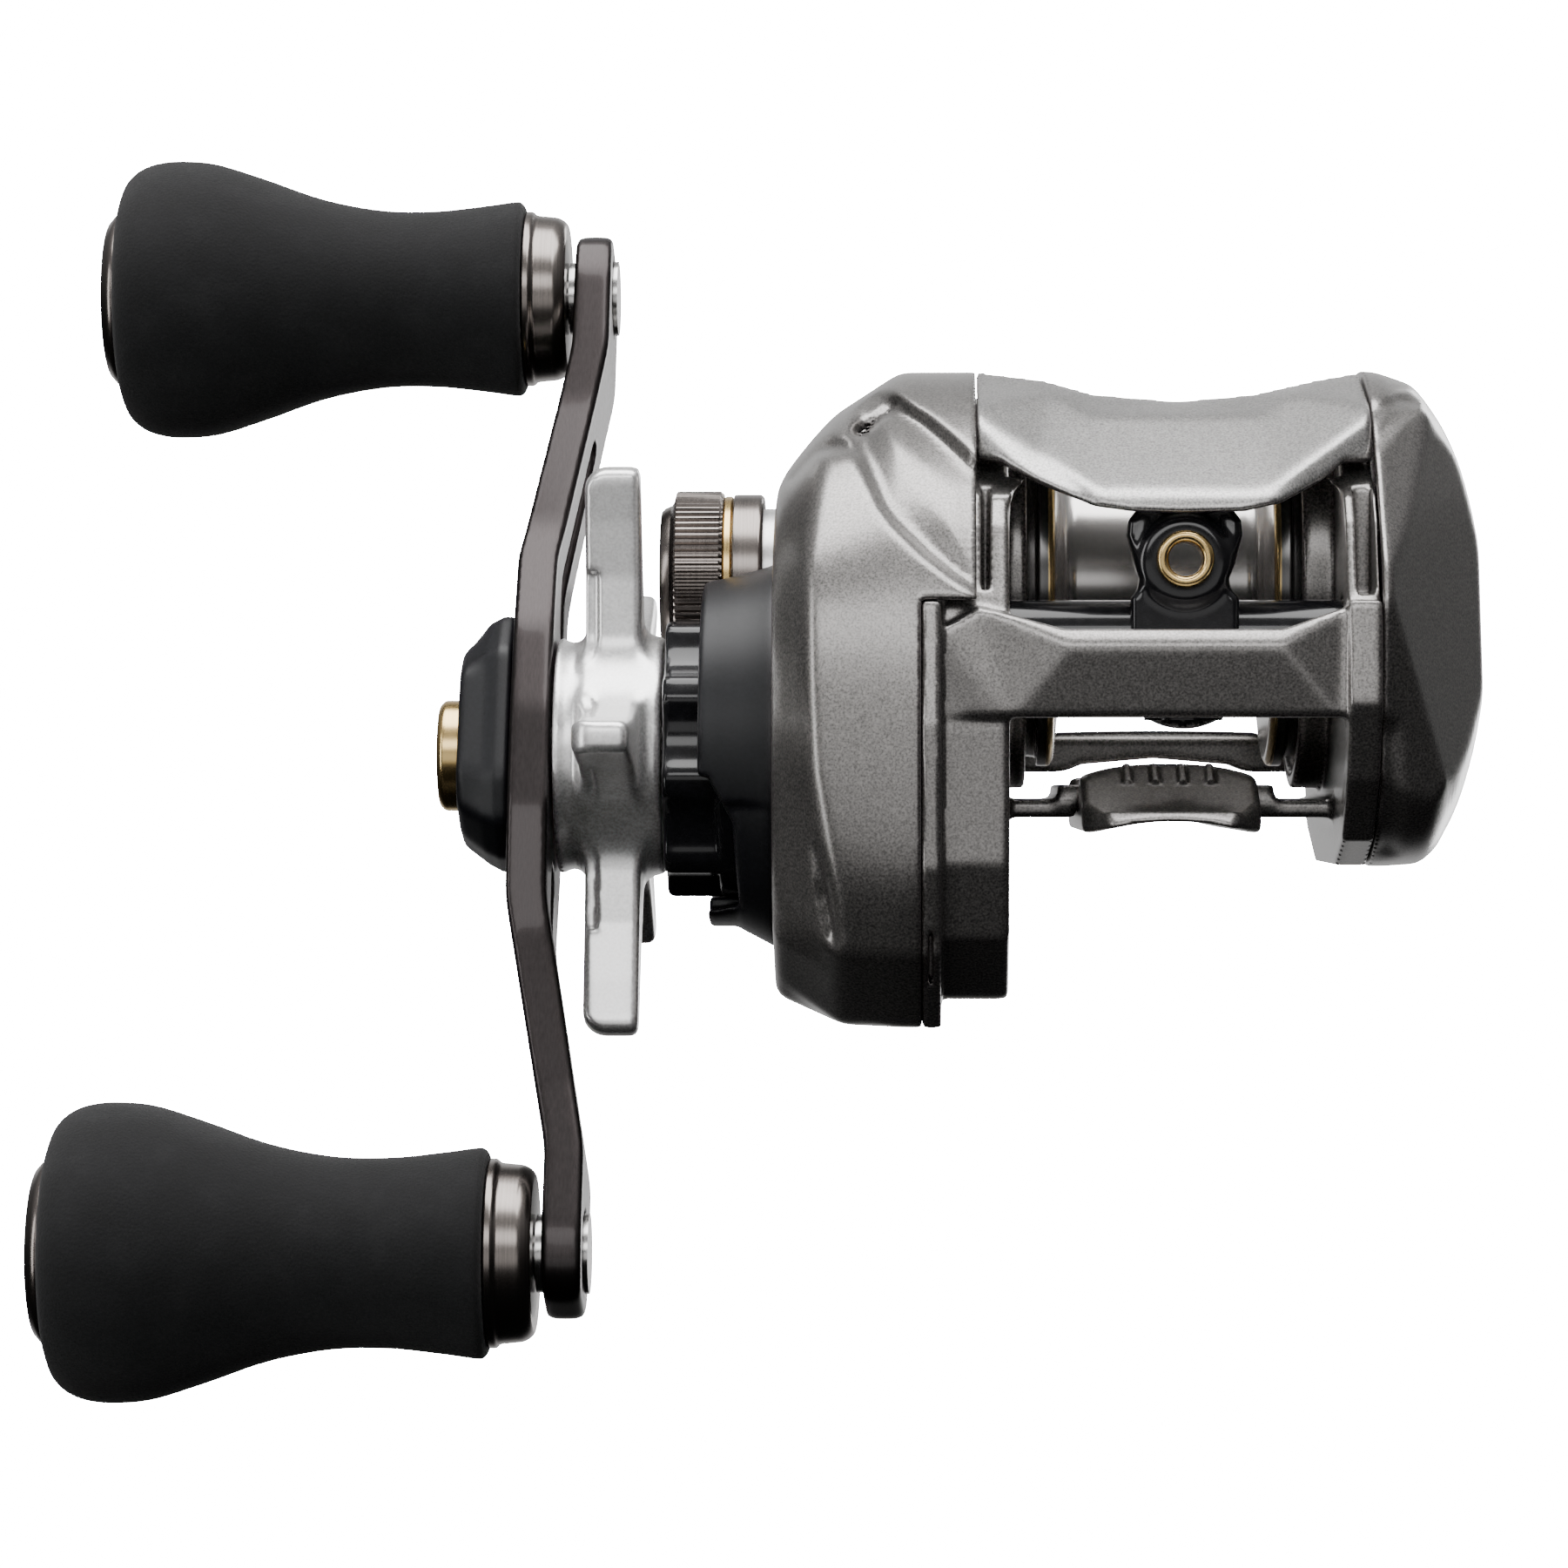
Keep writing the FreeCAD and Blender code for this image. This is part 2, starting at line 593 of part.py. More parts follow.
def make_palm_side():
    seam = size("palm_seam")
    face = size("palm_face")
    wall = size("shell_wall")
    outer = lofted([(seam, PALM_SIDE), (22.3, PALM_SHOULDER), (face, PALM_OUTER)])
    hollow = lofted([
        (seam - 1, inset(PALM_SIDE, wall)),
        (21.8, inset(PALM_SHOULDER, wall)),
        (face - wall, inset(PALM_OUTER, wall)),
    ])
    body = outer.cut(hollow)
    boss = rod(18.6, face - 1.0, 5.6, SPOOL)
    disc = rod(18.1, 19.6, 15.9, SPOOL)
    spokes = [
        block((18.1, -25.5, SPOOL[1] - 3), (19.6, 27.5, SPOOL[1] + 3)),
        block((18.1, LOCK_SCREW[0] - 2.0, -1.8), (19.6, LOCK_SCREW[0] + 2.0, 8.0)),
    ]
    lock_boss = rod(seam, 26.5, 2.8, LOCK_SCREW)
    dial_post = rod(19.0, 27.0, 1.4, BRAKE_DIAL)
    body = joined([body, boss, disc, dial_post] + spokes + [lock_boss.common(outer)])
    cuts = [
        rod(17, 22.2, 4.0, SPOOL),
        rod(17, 23.4, 2.2, SPOOL),
        rod(seam - 1, 30, 1.6, LOCK_SCREW),
        rod(19.9, 30, 2.5, LOCK_SCREW),
        rod(20.9, 24.3, 6.8, BRAKE_DIAL).cut(rod(20, 25, 1.4, BRAKE_DIAL)),
    ]
    for cut in cuts:
        body = body.cut(cut)
    feature("palm_side_cover", largest(body.removeSplitter()))
    tube("palm_bearing", 18.3, 22.1, 4.0, 1.05, AT_SPOOL)
    turned("brake_ring", [(12.2, 11.6), (12.2, 12.8), (18.0, 12.8), (18.0, 5.0),
                          (17.2, 5.0), (17.2, 11.6)], AT_SPOOL)
    dial = rod(21.1, 24.1, 6.45, BRAKE_DIAL).cut(rod(20, 25, 1.4 + GAP, BRAKE_DIAL))
    for place in around(BRAKE_DIAL, 6.75, 24):
        dial = dial.cut(rod(20, 25, 0.5, place))
    feature("brake_dial", dial.removeSplitter())
    feature("cover_lock_screw", lock_screw())


BRAKE_DIAL = (24.8, 10.5)


def lock_screw():
    body = rod(15.6, 20.2, 1.45, LOCK_SCREW).fuse(rod(20.0, 23.5, 2.4, LOCK_SCREW))
    y, z = LOCK_SCREW
    slot = block((22.8, y - 3, z - 0.4), (24, y + 3, z + 0.4))
    return body.cut(slot)


# ------------------------------------------------------------------- spool


def make_spool():
    turned("spool", [
        ("-(spool_half_width + 1.9)", "spool_radius - 1.9"),
        ("-(spool_half_width + 1.9)", "spool_radius - 1.0"),
        ("-spool_half_width", "spool_radius - 0.8"),
        ("-spool_half_width", "spool_radius"),
        ("-(spool_half_width - 1.2)", "spool_radius"),
        ("-(spool_half_width - 1.6)", "spool_radius - 0.6"),
        ("-(spool_half_width - 2.2)", "spool_drum_radius + 0.8"),
        ("-(spool_half_width - 3.0)", "spool_drum_radius"),
        ("spool_half_width - 3.0", "spool_drum_radius"),
        ("spool_half_width - 2.2", "spool_drum_radius + 0.8"),
        ("spool_half_width - 1.6", "spool_radius - 0.6"),
        ("spool_half_width - 1.2", "spool_radius"),
        ("spool_half_width", "spool_radius"),
        ("spool_half_width", "spool_radius - 0.8"),
        ("spool_half_width + 1.9", "spool_radius - 1.0"),
        ("spool_half_width + 1.9", "spool_radius - 1.9"),
        ("spool_half_width - 0.9", "spool_radius - 1.9"),
        ("spool_half_width - 1.4", "spool_drum_radius - 1.2"),
        ("3.0", "spool_drum_radius - 1.2"),
        ("1.2", "spool_drum_radius - 2.0"),
        ("1.2", "3.6"),
        ("5.0", "3.6"),
        ("5.0", "2.0"),
        ("-5.0", "2.0"),
        ("-5.0", "3.6"),
        ("-1.2", "3.6"),
        ("-1.2", "spool_drum_radius - 2.0"),
        ("-3.0", "spool_drum_radius - 1.2"),
        ("-(spool_half_width - 1.4)", "spool_drum_radius - 1.2"),
        ("-(spool_half_width - 0.9)", "spool_radius - 1.9"),
    ], AT_SPOOL)
    steps = [(-43.2, -12.0, 1.25), (-12.0, 12.0, 2.0), (12.0, 22.0, 1.0)]
    shaft = joined([rod(start, end, radius, SPOOL) for start, end, radius in steps])
    shaft = shaft.cut(Part.makeCylinder(0.5, 8, V(-15.5, SPOOL[0], SPOOL[1] - 4), Z_AXIS))
    feature("spool_shaft", shaft)
    feature("spool_pin", Part.makeCylinder(0.5, 5.6, V(-15.5, SPOOL[0], SPOOL[1] - 2.8), Z_AXIS))
    hub = rod(6.0, 10.5, 3.4, SPOOL).fuse(rod(9.2, 10.5, 8.6, SPOOL)).cut(rod(5, 12, 2.0, SPOOL))
    pegs = [rod(10.4, 14.6, 0.6, place) for place in around(SPOOL, 7.4, 6)]
    feature("brake_rotor", joined([hub] + pegs))
    weights = []
    for place in around(SPOOL, 7.4, 6):
        weights.append(rod(10.9, 13.9, 1.7, place).cut(rod(10, 15, 0.6, place)))
    feature("brake_weights", Part.makeCompound(weights))


# ------------------------------------------------------------ clutch parts

DRIVE_PHASE = bearing_between(DRIVE, SPOOL)


def make_pinion():
    drive_teeth = int(size("drive_teeth"))
    pinion_teeth = int(size("pinion_teeth"))
    phase = meshed_phase(DRIVE_PHASE, drive_teeth, pinion_teeth, DRIVE_PHASE)
    teeth = gear_solid(pinion_teeth, PINION_SHIFT, phase, SPOOL, -29.6, -23.3)
    body = joined([
        rod(-32.4, -29.5, 1.8, SPOOL), teeth, rod(-23.3, -22.2, 2.2, SPOOL),
        rod(-22.2, -15.05, 3.2, SPOOL),
    ])
    body = body.cut(rod(-34, -14, 1.35, SPOOL))
    slot = block((-16.2, SPOOL[0] - 0.62, SPOOL[1] - 4), (-14, SPOOL[0] + 0.62, SPOOL[1] + 4))
    feature("pinion_gear", body.cut(slot).removeSplitter())


def make_clutch():
    """The yoke that slides the pinion, its springs, and the cam and bar that the thumb presses."""
    step = size("frame_step")
    ends = [rod(-23.15, -22.35, 2.3, place) for place in YOKE_POSTS]
    across = bearing_between(SPOOL, YOKE_POSTS[0])
    y, z = SPOOL
    bar = block((-23.15, y - 8.9, z - 3.2), (-22.35, y + 8.9, z + 3.2))
    bar.rotate(V(0, SPOOL[0], SPOOL[1]), X_AXIS, math.degrees(across))
    yoke = joined([bar] + ends).cut(rod(-24, -22, 2.28, SPOOL))
    yoke = yoke.cut(rod(-24, -22, 16.0, DRIVE))
    for place in YOKE_POSTS:
        yoke = yoke.cut(rod(-24, -22, 1.02, place))
    feature("clutch_yoke", yoke.removeSplitter())
    springs = [coil(-26.0, -23.35, 1.35, 0.17, 4, place) for place in YOKE_POSTS]
    feature("yoke_springs", Part.makeCompound(springs))
    bar_outline = [
        (21.6, 14.9), (22.6, 14.2), (28.4, 14.2), (29.4, 15.2), (29.0, 17.2), (27.8, 17.6),
        (24.0, 17.1), (22.0, 17.6),
    ]
    left = size("gear_wall_in") + 0.4
    right = size("palm_wall_in") - 0.4
    thumb = slab(bar_outline, left, right)
    tang = block((step - 0.7, 22.2, 14.4), (left + 0.1, 27.0, 17.0))
    feature("thumb_bar", joined([thumb, tang]))
    plate = block((step - 0.7, 14.9, 14.4), (step - 0.1, 22.2, 25.6))
    ramp_side = [(step - 0.7, 20.6), (step - 2.15, 25.4), (step - 0.7, 25.4)]
    corners = [V(x, 14.9, z) for x, z in ramp_side]
    ramp = Part.Face(Part.makePolygon(corners + corners[:1])).extrude(V(0, 0.85, 0))
    feature("clutch_cam", joined([plate, ramp]))


def coil(start, end, radius, wire, turns, centre):
    """A compression spring along X."""
    helix = Part.makeHelix((end - start) / turns, end - start, radius)
    section = Part.Wire(Part.makeCircle(wire, V(radius, 0, 0), Y_AXIS))
    spring = Part.Wire(helix.Edges).makePipeShell([section], True, True)
    spring.rotate(V(0, 0, 0), Y_AXIS, 90)
    spring.translate(V(start, centre[0], centre[1]))
    return spring


# -------------------------------------------------------------- level wind


def make_level_wind():
    wind_teeth = int(size("wind_teeth"))
    idler_teeth = int(size("idler_teeth"))
    worm_teeth = int(size("worm_teeth"))
    wind_phase = bearing_between(DRIVE, IDLER)
    wind = gear_solid(wind_teeth, 0, wind_phase, DRIVE, -19.4, -17.3)
    feature("level_wind_gear", wind.cut(rod(-20, -17, 4.0, DRIVE)))
    idler_phase = meshed_phase(wind_phase, wind_teeth, idler_teeth, wind_phase)
    idler = gear_solid(idler_teeth, 0, idler_phase, IDLER, -19.3, -17.3)
    feature("idler_gear", idler.cut(rod(-20, -17, 1.2 + GAP, IDLER)))
    to_worm = bearing_between(IDLER, WORM)
    worm_phase = meshed_phase(idler_phase, idler_teeth, worm_teeth, to_worm)
    worm_gear = gear_solid(worm_teeth, 0, worm_phase, WORM, -19.3, -17.3)
    feature("worm_gear", worm_gear.cut(rod(-20, -17, 1.5, WORM)))
    worm = joined([rod(-19.5, -13.0, 1.5, WORM), rod(-13.0, 14.0, 2.45, WORM), rod(14.0, 16.5, 1.5, WORM)])
    for index in range(9):
        for lean in (-12.0, 12.0):
            groove = Part.makeTorus(2.75, 0.62, V(0, 0, 0), X_AXIS)
            groove.rotate(V(0, 0, 0), Z_AXIS, lean)
            groove.translate(V(-11.0 + 2.9 * index, WORM[0], WORM[1]))
            worm = worm.cut(groove)
    feature("worm_shaft", worm)
    make_line_guide()


def make_line_guide():
    x = size("eyelet_x")
    z = size("eyelet_z")
    head = [(-4.0, 28.1), (4.0, 28.1), (4.9, 26.9),
            (4.9, 25.6), (3.6, 21.6), (4.65, 19.6), (4.65, 10.4), (-4.65, 10.4),
            (-4.65, 19.6), (-3.8, 21.6), (-4.9, 25.6), (-4.9, 26.9)]
    corners = [V(x + across, -18.2, up) for across, up in head]
    body = Part.Face(Part.makePolygon(corners + corners[:1])).extrude(V(0, -8.0, 0))
    side = [(-26.2, 10.4), (-25.4, 28.1), (-22.6, 28.1), (-21.4, 20.6), (-18.2, 20.0), (-18.2, 10.4)]
    body = body.common(slab(side, x - 6, x + 6))
    body = body.cut(rod(x - 6, x + 6, 3.15 + GAP, WORM))
    body = body.cut(Part.makeCylinder(2.1, 12, V(x, -28, z), Y_AXIS))
    body = body.cut(Part.makeCylinder(1.5, 5, V(x, WORM[0], 9), Z_AXIS))
    body = body.cut(block((x - 2.6, -27, 26.6), (x + 2.6, -20, 30)))
    feature("line_guide", body.removeSplitter())
    eyelet = Part.makeCylinder(2.1, 3.9, V(x, -26.9, z), Y_AXIS)
    rim = Part.makeTorus(2.0, 0.45, V(x, -26.9, z), Y_AXIS)
    eyelet = eyelet.fuse(rim).cut(Part.makeCylinder(size("eyelet_bore"), 8, V(x, -29, z), Y_AXIS))
    feature("line_eyelet", eyelet.removeSplitter())
    pawl = Part.makeCylinder(1.42, 2.85, V(x, WORM[0], 10.45), Z_AXIS)
    tooth = block((x - 0.9, WORM[0] - 0.3, 13.2), (x + 0.9, WORM[0] + 0.3, 14.42))
    feature("line_guide_pawl", pawl.fuse(tooth).removeSplitter())
    cap = Part.makeCylinder(3.4, 0.6, V(x, WORM[0], 9.75), Z_AXIS)
    dome = Part.makeSphere(6.0, V(x, WORM[0], 15.0)).common(block((x - 4, -27, 8), (x + 4, -18, 9.8)))
    feature("pawl_cap", cap.fuse(dome).removeSplitter())


# ------------------------------------------------------------- drive train


def make_drive():
    turned("drive_shaft", [
        (-62.0, 0), (-62.0, 3.5), (-34.0, 3.5), (-34.0, 4.0), (-22.4, 4.0), (-17.1, 4.0), (-17.1, 2.5),
        (-14.75, 2.5), (-14.75, 0),
    ], AT_DRIVE)
    gear = gear_solid(int(size("drive_teeth")), -PINION_SHIFT, DRIVE_PHASE, DRIVE, -27.5, -24.0)
    gear = gear.cut(rod(-28, -25.8, 13.2, DRIVE)).cut(rod(-28, -23, 4.05, DRIVE))
    for place in around(DRIVE, 8.6, 6, 10.0):
        gear = gear.cut(rod(-26, -23, 2.1, place))
    feature("drive_gear", gear)
    discs = []
    for index, radius in enumerate((13.0, 12.6, 13.0, 12.6)):
        start = -26.75 - 0.95 * index
        discs.append(rod(start, start + 0.9, radius, DRIVE).cut(rod(-31, -25, 4.05, DRIVE)))
    feature("drag_washers", Part.makeCompound(discs))
    turned("clutch_sleeve", [
        (-44.2, 4.05), (-44.2, 5.2), (-32.0, 5.2), (-32.0, 9.0), (-30.8, 9.0), (-30.8, 4.05),
    ], AT_DRIVE)
    teeth = [rod(-23.6, -22.3, 1.25, place) for place in around(DRIVE, 9.4, 12)]
    wheel = rod(-23.6, -22.3, 9.4, DRIVE).cut(rod(-24, -22, 4.0, DRIVE))
    for tooth in teeth:
        wheel = wheel.cut(tooth)
    feature("ratchet_wheel", wheel)


def make_handle_arm():
    """The double arm: a bent strap, wide at the hub and swept towards the body at its ends."""
    reach = size("arm_reach")
    outer = size("arm_outer")
    inner = outer + size("arm_thick")
    sweep = size("arm_sweep")
    swept = inner + sweep - 0.2
    near = 17.0
    far = 40.0
    edge = reach + 5.9
    side = [
        (outer, -near), (outer, near), (outer + sweep, far), (outer + sweep, edge),
        (swept, edge), (swept, far), (inner, near), (inner, -near),
        (swept, -far), (swept, -edge), (outer + sweep, -edge), (outer + sweep, -far),
    ]
    corners = [V(x, -12, z) for x, z in side]
    strap = Part.Face(Part.makePolygon(corners + corners[:1])).extrude(V(0, 24, 0))
    plan = [(9.5, 0.0), (9.0, 9.0), (6.4, 20.0), (5.6, 34.0), (5.9, reach)]
    right = plan + [(-y, z) for y, z in reversed(plan)]
    plan_outline = right + [(-y, -z) for y, z in right[1:-1]]
    tips = [rod(-66, -40, 5.9, (0, end * reach)) for end in (-1, 1)]
    blank = joined([slab(plan_outline, -66, -40)] + tips)
    arm = strap.common(blank)
    arm = arm.cut(rod(-66, -40, 3.55, (0, 0)))
    for end in (-1, 1):
        arm = arm.cut(rod(-66, -40, size("knob_shaft_radius"), (0, end * reach)))
        slot = joined([rod(-66, -40, 1.8, (0, end * 13.0)), rod(-66, -40, 1.3, (0, end * 31.0)),
                       slab([(-1.8, end * 13.0), (1.8, end * 13.0), (1.3, end * 31.0), (-1.3, end * 31.0)],
                            -66, -40)])
        arm = arm.cut(slot)
    feature("handle_arm", arm.removeSplitter(), swing_place())


def make_handle_fixings():
    turned("handle_nut", [
        (-65.0, 2.2), (-65.0, 4.6), (-64.6, 5.0), (-59.2, 5.0), (-59.2, 6.0), (-58.15, 6.0),
        (-58.15, 3.55), (-62.4, 3.55), (-62.4, 2.2),
    ], AT_DRIVE)
    dome = [(11.0, 0.0), (10.0, 5.5), (6.0, 7.6), (-6.0, 7.6), (-10.0, 5.5), (-11.0, 0.0), (-10.0, -5.5),
            (-6.0, -7.6), (6.0, -7.6), (10.0, -5.5)]
    top = [(y * 0.72, z * 0.72) for y, z in dome]
    flat = [(z, y) for y, z in dome]
    crown = [(z, y) for y, z in top]
    shell = lofted([(-58.2, flat), (-60.6, flat), (-63.0, crown)])
    shell = shell.cut(rod(-64, -58, 5.2, (0, 0)))
    shell = shell.cut(rod(-59.3, -58, 6.2, (0, 0)))
    shell = shell.cut(rod(-64, -58, 0.9, (0, 8.6))).cut(rod(-64, -60.2, 1.7, (0, 8.6)))
    feature("nut_retainer", shell.removeSplitter(), swing_place())
    holder = screw(-60.2, -58.2, 0.85, 1.6, 1.0, (0, 8.6))
    feature("retainer_screw", holder, swing_place())
    shafts = []
    screws = []
    tip_outer = size("arm_outer") + size("arm_sweep")
    tip_inner = tip_outer + size("arm_thick") - 0.2
    radius = size("knob_shaft_radius")
    for end in (-1, 1):
        place = (0, end * size("arm_reach"))
        shaft = joined([
            rod(-94.8, tip_inner + 0.4, radius, place),
            rod(tip_outer - 0.65, tip_outer, 3.4, place),
            rod(tip_inner, tip_inner + 0.4, 3.5, place),
        ])
        shafts.append(shaft.cut(rod(-95, -91.0, 0.8, place)))
        screws.append(screw(-94.85, -91.2, 0.78, 2.9, 0.9, place))
    feature("knob_shafts", Part.makeCompound(shafts), swing_place())
    feature("knob_screws", Part.makeCompound(screws), swing_place())


def make_star_drag():
    """The five-armed drag wheel with its hub."""
    outer = size("star_outer")
    inner = outer + size("star_thick")
    reach = size("star_reach")
    points = []
    for arm in range(5):
        turn = math.radians(176.7 - 72 * arm)
        for across, out in ((3.9, 11.5), (2.4, 17.0), (1.6, reach - 0.6), (1.0, reach), (-1.0, reach),
                            (-1.6, reach - 0.6), (-2.4, 17.0), (-3.9, 11.5)):
            points.append((
                DRIVE[0] + out * math.cos(turn) - across * math.sin(turn),
                DRIVE[1] + out * math.sin(turn) + across * math.cos(turn),
            ))
    star = slab(points, outer, inner)
    hub = rod(-54.2, inner, 10.8, DRIVE)
    boss = rod(inner, -44.6, 10.7, DRIVE)
    body = joined([star, hub, boss]).cut(rod(-55, -44, 3.5 + GAP, DRIVE))
    body = body.cut(rod(-45.0, -44.0, 5.6, DRIVE))
    feature("star_drag", body.removeSplitter())


# --------------------------------------------------------------- the knobs


def make_knob(which):
    centre = AT_KNOB[which]
    inner_end = "grip_outer + grip_length"
    turned(f"{which}_knob_grip", [
        ("grip_outer", "7.1"), ("grip_outer", "grip_radius - 2.5"),
        ("grip_outer + 1.4", "grip_radius - 0.9"), ("grip_outer + 3.6", "grip_radius - 0.15"),
        ("grip_outer + 6.0", "grip_radius"), ("grip_outer + 9.5", "grip_radius - 0.3"),
        ("grip_outer + 14.0", "grip_radius - 1.7"), ("grip_outer + 19.5", "grip_radius - 3.6"),
        ("grip_outer + 25.0", "grip_radius - 4.65"), ("grip_outer + 30.0", "grip_radius - 4.75"),
        ("grip_outer + 34.5", "grip_radius - 4.3"), ("grip_outer + 37.7", "grip_radius - 3.9"),
        (inner_end, "grip_radius - 4.7"), (inner_end, "7.1"),
    ], centre)
    turned(f"{which}_knob_core", [
        ("grip_outer - 0.6", "6.6"), ("grip_outer - 0.6", "7.5"), ("grip_outer - 0.05", "7.9"),
        ("grip_outer - 0.05", "7.1"), (inner_end + " + 0.05", "7.1"), (inner_end + " + 0.05", "8.25"),
        (inner_end + " + 1.2", "8.25"), (inner_end + " + 1.9", "7.2"), (inner_end + " + 3.0", "6.95"),
        (inner_end + " + 4.1", "7.25"), (inner_end + " + 4.1", "2.3"), (inner_end + " + 3.4", "2.3"),
        (inner_end + " + 3.4", "4.0"), ("grip_outer + 1.4", "4.0"), ("grip_outer + 1.4", "6.6"),
    ], centre)
    turned(f"{which}_knob_cap", [
        ("grip_outer - 1.0", "0"), ("grip_outer - 0.9", "3.5"), ("grip_outer - 0.5", "6.2"),
        ("grip_outer - 0.2", "6.55"), ("grip_outer + 1.3", "6.55"), ("grip_outer + 1.3", "0"),
    ], centre)
    y, z = knob_place(which)
    bearings = []
    for start in (-94.6, -60.2):
        bearings.append(washer(start, start + 2.6, 4.0, size("knob_shaft_radius") + 0.03, (y, z)))
    feature(f"{which}_knob_bearings", Part.makeCompound(bearings))


def knob_place(which):
    sign = 1 if which == "upper" else -1
    reach = sign * size("arm_reach")
    return DRIVE[0] + reach * math.sin(ARM_ANGLE), DRIVE[1] + reach * math.cos(ARM_ANGLE)


# ------------------------------------------------------------- cast control


def make_cast_control():
    centre = SPOOL
    cap = joined([
        rod(-43.9, -39.6, size("cast_radius"), centre),
        Part.makeCone(6.85, size("cast_radius"), 0.5, V(-44.4, *centre), X_AXIS),
        Part.makeCone(6.6, 6.85, 0.9, V(-45.3, *centre), X_AXIS),
    ])
    cap = cap.cut(rod(-43.3, -39, 6.65, centre))
    for place in around(centre, size("cast_radius") + 0.1, 48):
        cap = cap.cut(rod(-43.8, -39, 0.22, place))
    feature("cast_control_cap", cap.removeSplitter())
    tube("cast_control_band", -39.55, -38.75, 7.7, 6.65, AT_SPOOL)
    turned("cast_control_collar", [
        (-38.7, 6.65), (-38.7, 7.86), (-36.2, 7.86), (-35.9, 7.6), (-35.9, 6.65),
    ], AT_SPOOL)


# ------------------------------------------------------------------- build

make_frame()
make_reel_foot()
make_level_wind_hood()
make_gear_side_cover()
make_screws()
make_shaft_boss()
make_drag_drum()
make_root_fittings()
make_palm_side()
make_spool()
make_pinion()
make_clutch()
make_level_wind()
make_drive()
make_handle_arm()
make_handle_fixings()
make_star_drag()
make_knob("upper")
make_knob("lower")
make_cast_control()
doc.recompute()

# ------------------------------------------------------------------ export


def sub_parts():
    found = []
    for item in doc.Objects:
        if item.TypeId == "PartDesign::Body" or item.TypeId == "Part::Feature":
            found.append(item)
    return found


for item in doc.Objects:
    failed = [word for word in item.State if word in ("Invalid", "Error")]
    if failed:
        raise RuntimeError(f"{item.Name} did not compute: {failed}")
for item in sub_parts():
    if item.Shape.isNull() or not item.Shape.isValid():
        raise RuntimeError(f"{item.Label} has no valid shape")
    if not item.Shape.Solids:
        raise RuntimeError(f"{item.Label} holds no solid")

os.makedirs("parts", exist_ok=True)
for item in sub_parts():
    item.Shape.exportStep(f"parts/{item.Label}.step")
print(len(sub_parts()), "sub-parts written")
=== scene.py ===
import json
import math

import bmesh
import bpy
import numpy as np
from mathutils import Matrix, Vector


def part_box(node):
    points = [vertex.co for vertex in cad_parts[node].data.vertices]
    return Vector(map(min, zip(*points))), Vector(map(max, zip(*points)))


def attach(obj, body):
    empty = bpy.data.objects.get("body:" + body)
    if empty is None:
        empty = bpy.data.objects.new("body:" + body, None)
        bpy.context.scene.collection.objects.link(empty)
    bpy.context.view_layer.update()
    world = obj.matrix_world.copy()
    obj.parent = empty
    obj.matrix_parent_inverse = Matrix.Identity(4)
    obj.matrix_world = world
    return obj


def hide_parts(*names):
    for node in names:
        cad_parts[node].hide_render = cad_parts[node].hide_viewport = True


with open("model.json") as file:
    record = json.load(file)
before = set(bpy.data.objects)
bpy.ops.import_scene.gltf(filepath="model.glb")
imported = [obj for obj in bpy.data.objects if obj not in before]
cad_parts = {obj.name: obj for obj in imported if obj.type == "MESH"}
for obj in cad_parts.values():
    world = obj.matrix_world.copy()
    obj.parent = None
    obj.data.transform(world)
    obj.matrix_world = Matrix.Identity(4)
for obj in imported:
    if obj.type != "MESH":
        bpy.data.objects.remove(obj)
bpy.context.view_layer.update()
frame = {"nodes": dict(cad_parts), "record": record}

# A low-profile baitcasting reel. Castings are carved from sampled distance
# fields, turned pieces are lathed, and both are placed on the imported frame.
# Lengths are millimetres until a mesh is written, in metres.

MM = 0.001
WHITE = (1, 1, 1)


def middle(node):
    """The (y, z) centre of a node's box, in millimetres."""
    low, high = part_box(node)
    return ((low.y + high.y) / 2 / MM, (low.z + high.z) / 2 / MM)


DRIVE = middle("drive_shaft")
SPOOL = middle("spool")
WORM = middle("worm_guard_tube")
DIAL = middle("brake_dial")
ARM_TURN = math.radians(-26.0)

# Materials.


def put(node, values):
    """Sets a node's inputs by their names."""
    for name, value in values.items():
        node.inputs[name].default_value = value


def shader(name, colour, metallic, rough, coat=0.0, coat_rough=0.1, specular=0.5):
    """A material with its Principled node, and the object coordinates all patterns use."""
    material = bpy.data.materials.new(name)
    material.use_nodes = True
    tree = material.node_tree
    main = tree.nodes["Principled BSDF"]
    put(main, {
        "Base Color": (*colour, 1), "Metallic": metallic, "Roughness": rough,
        "Specular IOR Level": specular, "Coat Weight": coat, "Coat Roughness": coat_rough,
    })
    place = tree.nodes.new("ShaderNodeTexCoord")
    return material, tree, main, place.outputs["Object"]


def noise(tree, place, scale, detail=2.0, stretch=None):
    """Noise over the object's own coordinates, drawn out along an axis by stretch."""
    pattern = tree.nodes.new("ShaderNodeTexNoise")
    put(pattern, {"Scale": scale, "Detail": detail})
    if stretch:
        mapping = tree.nodes.new("ShaderNodeMapping")
        put(mapping, {"Scale": stretch})
        tree.links.new(place, mapping.inputs["Vector"])
        place = mapping.outputs["Vector"]
    tree.links.new(place, pattern.inputs["Vector"])
    return pattern.outputs["Fac"]


def ramp(tree, value, stops):
    """A colour ramp from (position, colour) stops."""
    made = tree.nodes.new("ShaderNodeValToRGB")
    tree.links.new(value, made.inputs["Fac"])
    points = made.color_ramp.elements
    while len(points) < len(stops):
        points.new(0.5)
    for point, (position, colour) in zip(points, stops):
        point.position = position
        point.color = (*colour, 1)
    return made.outputs["Color"]


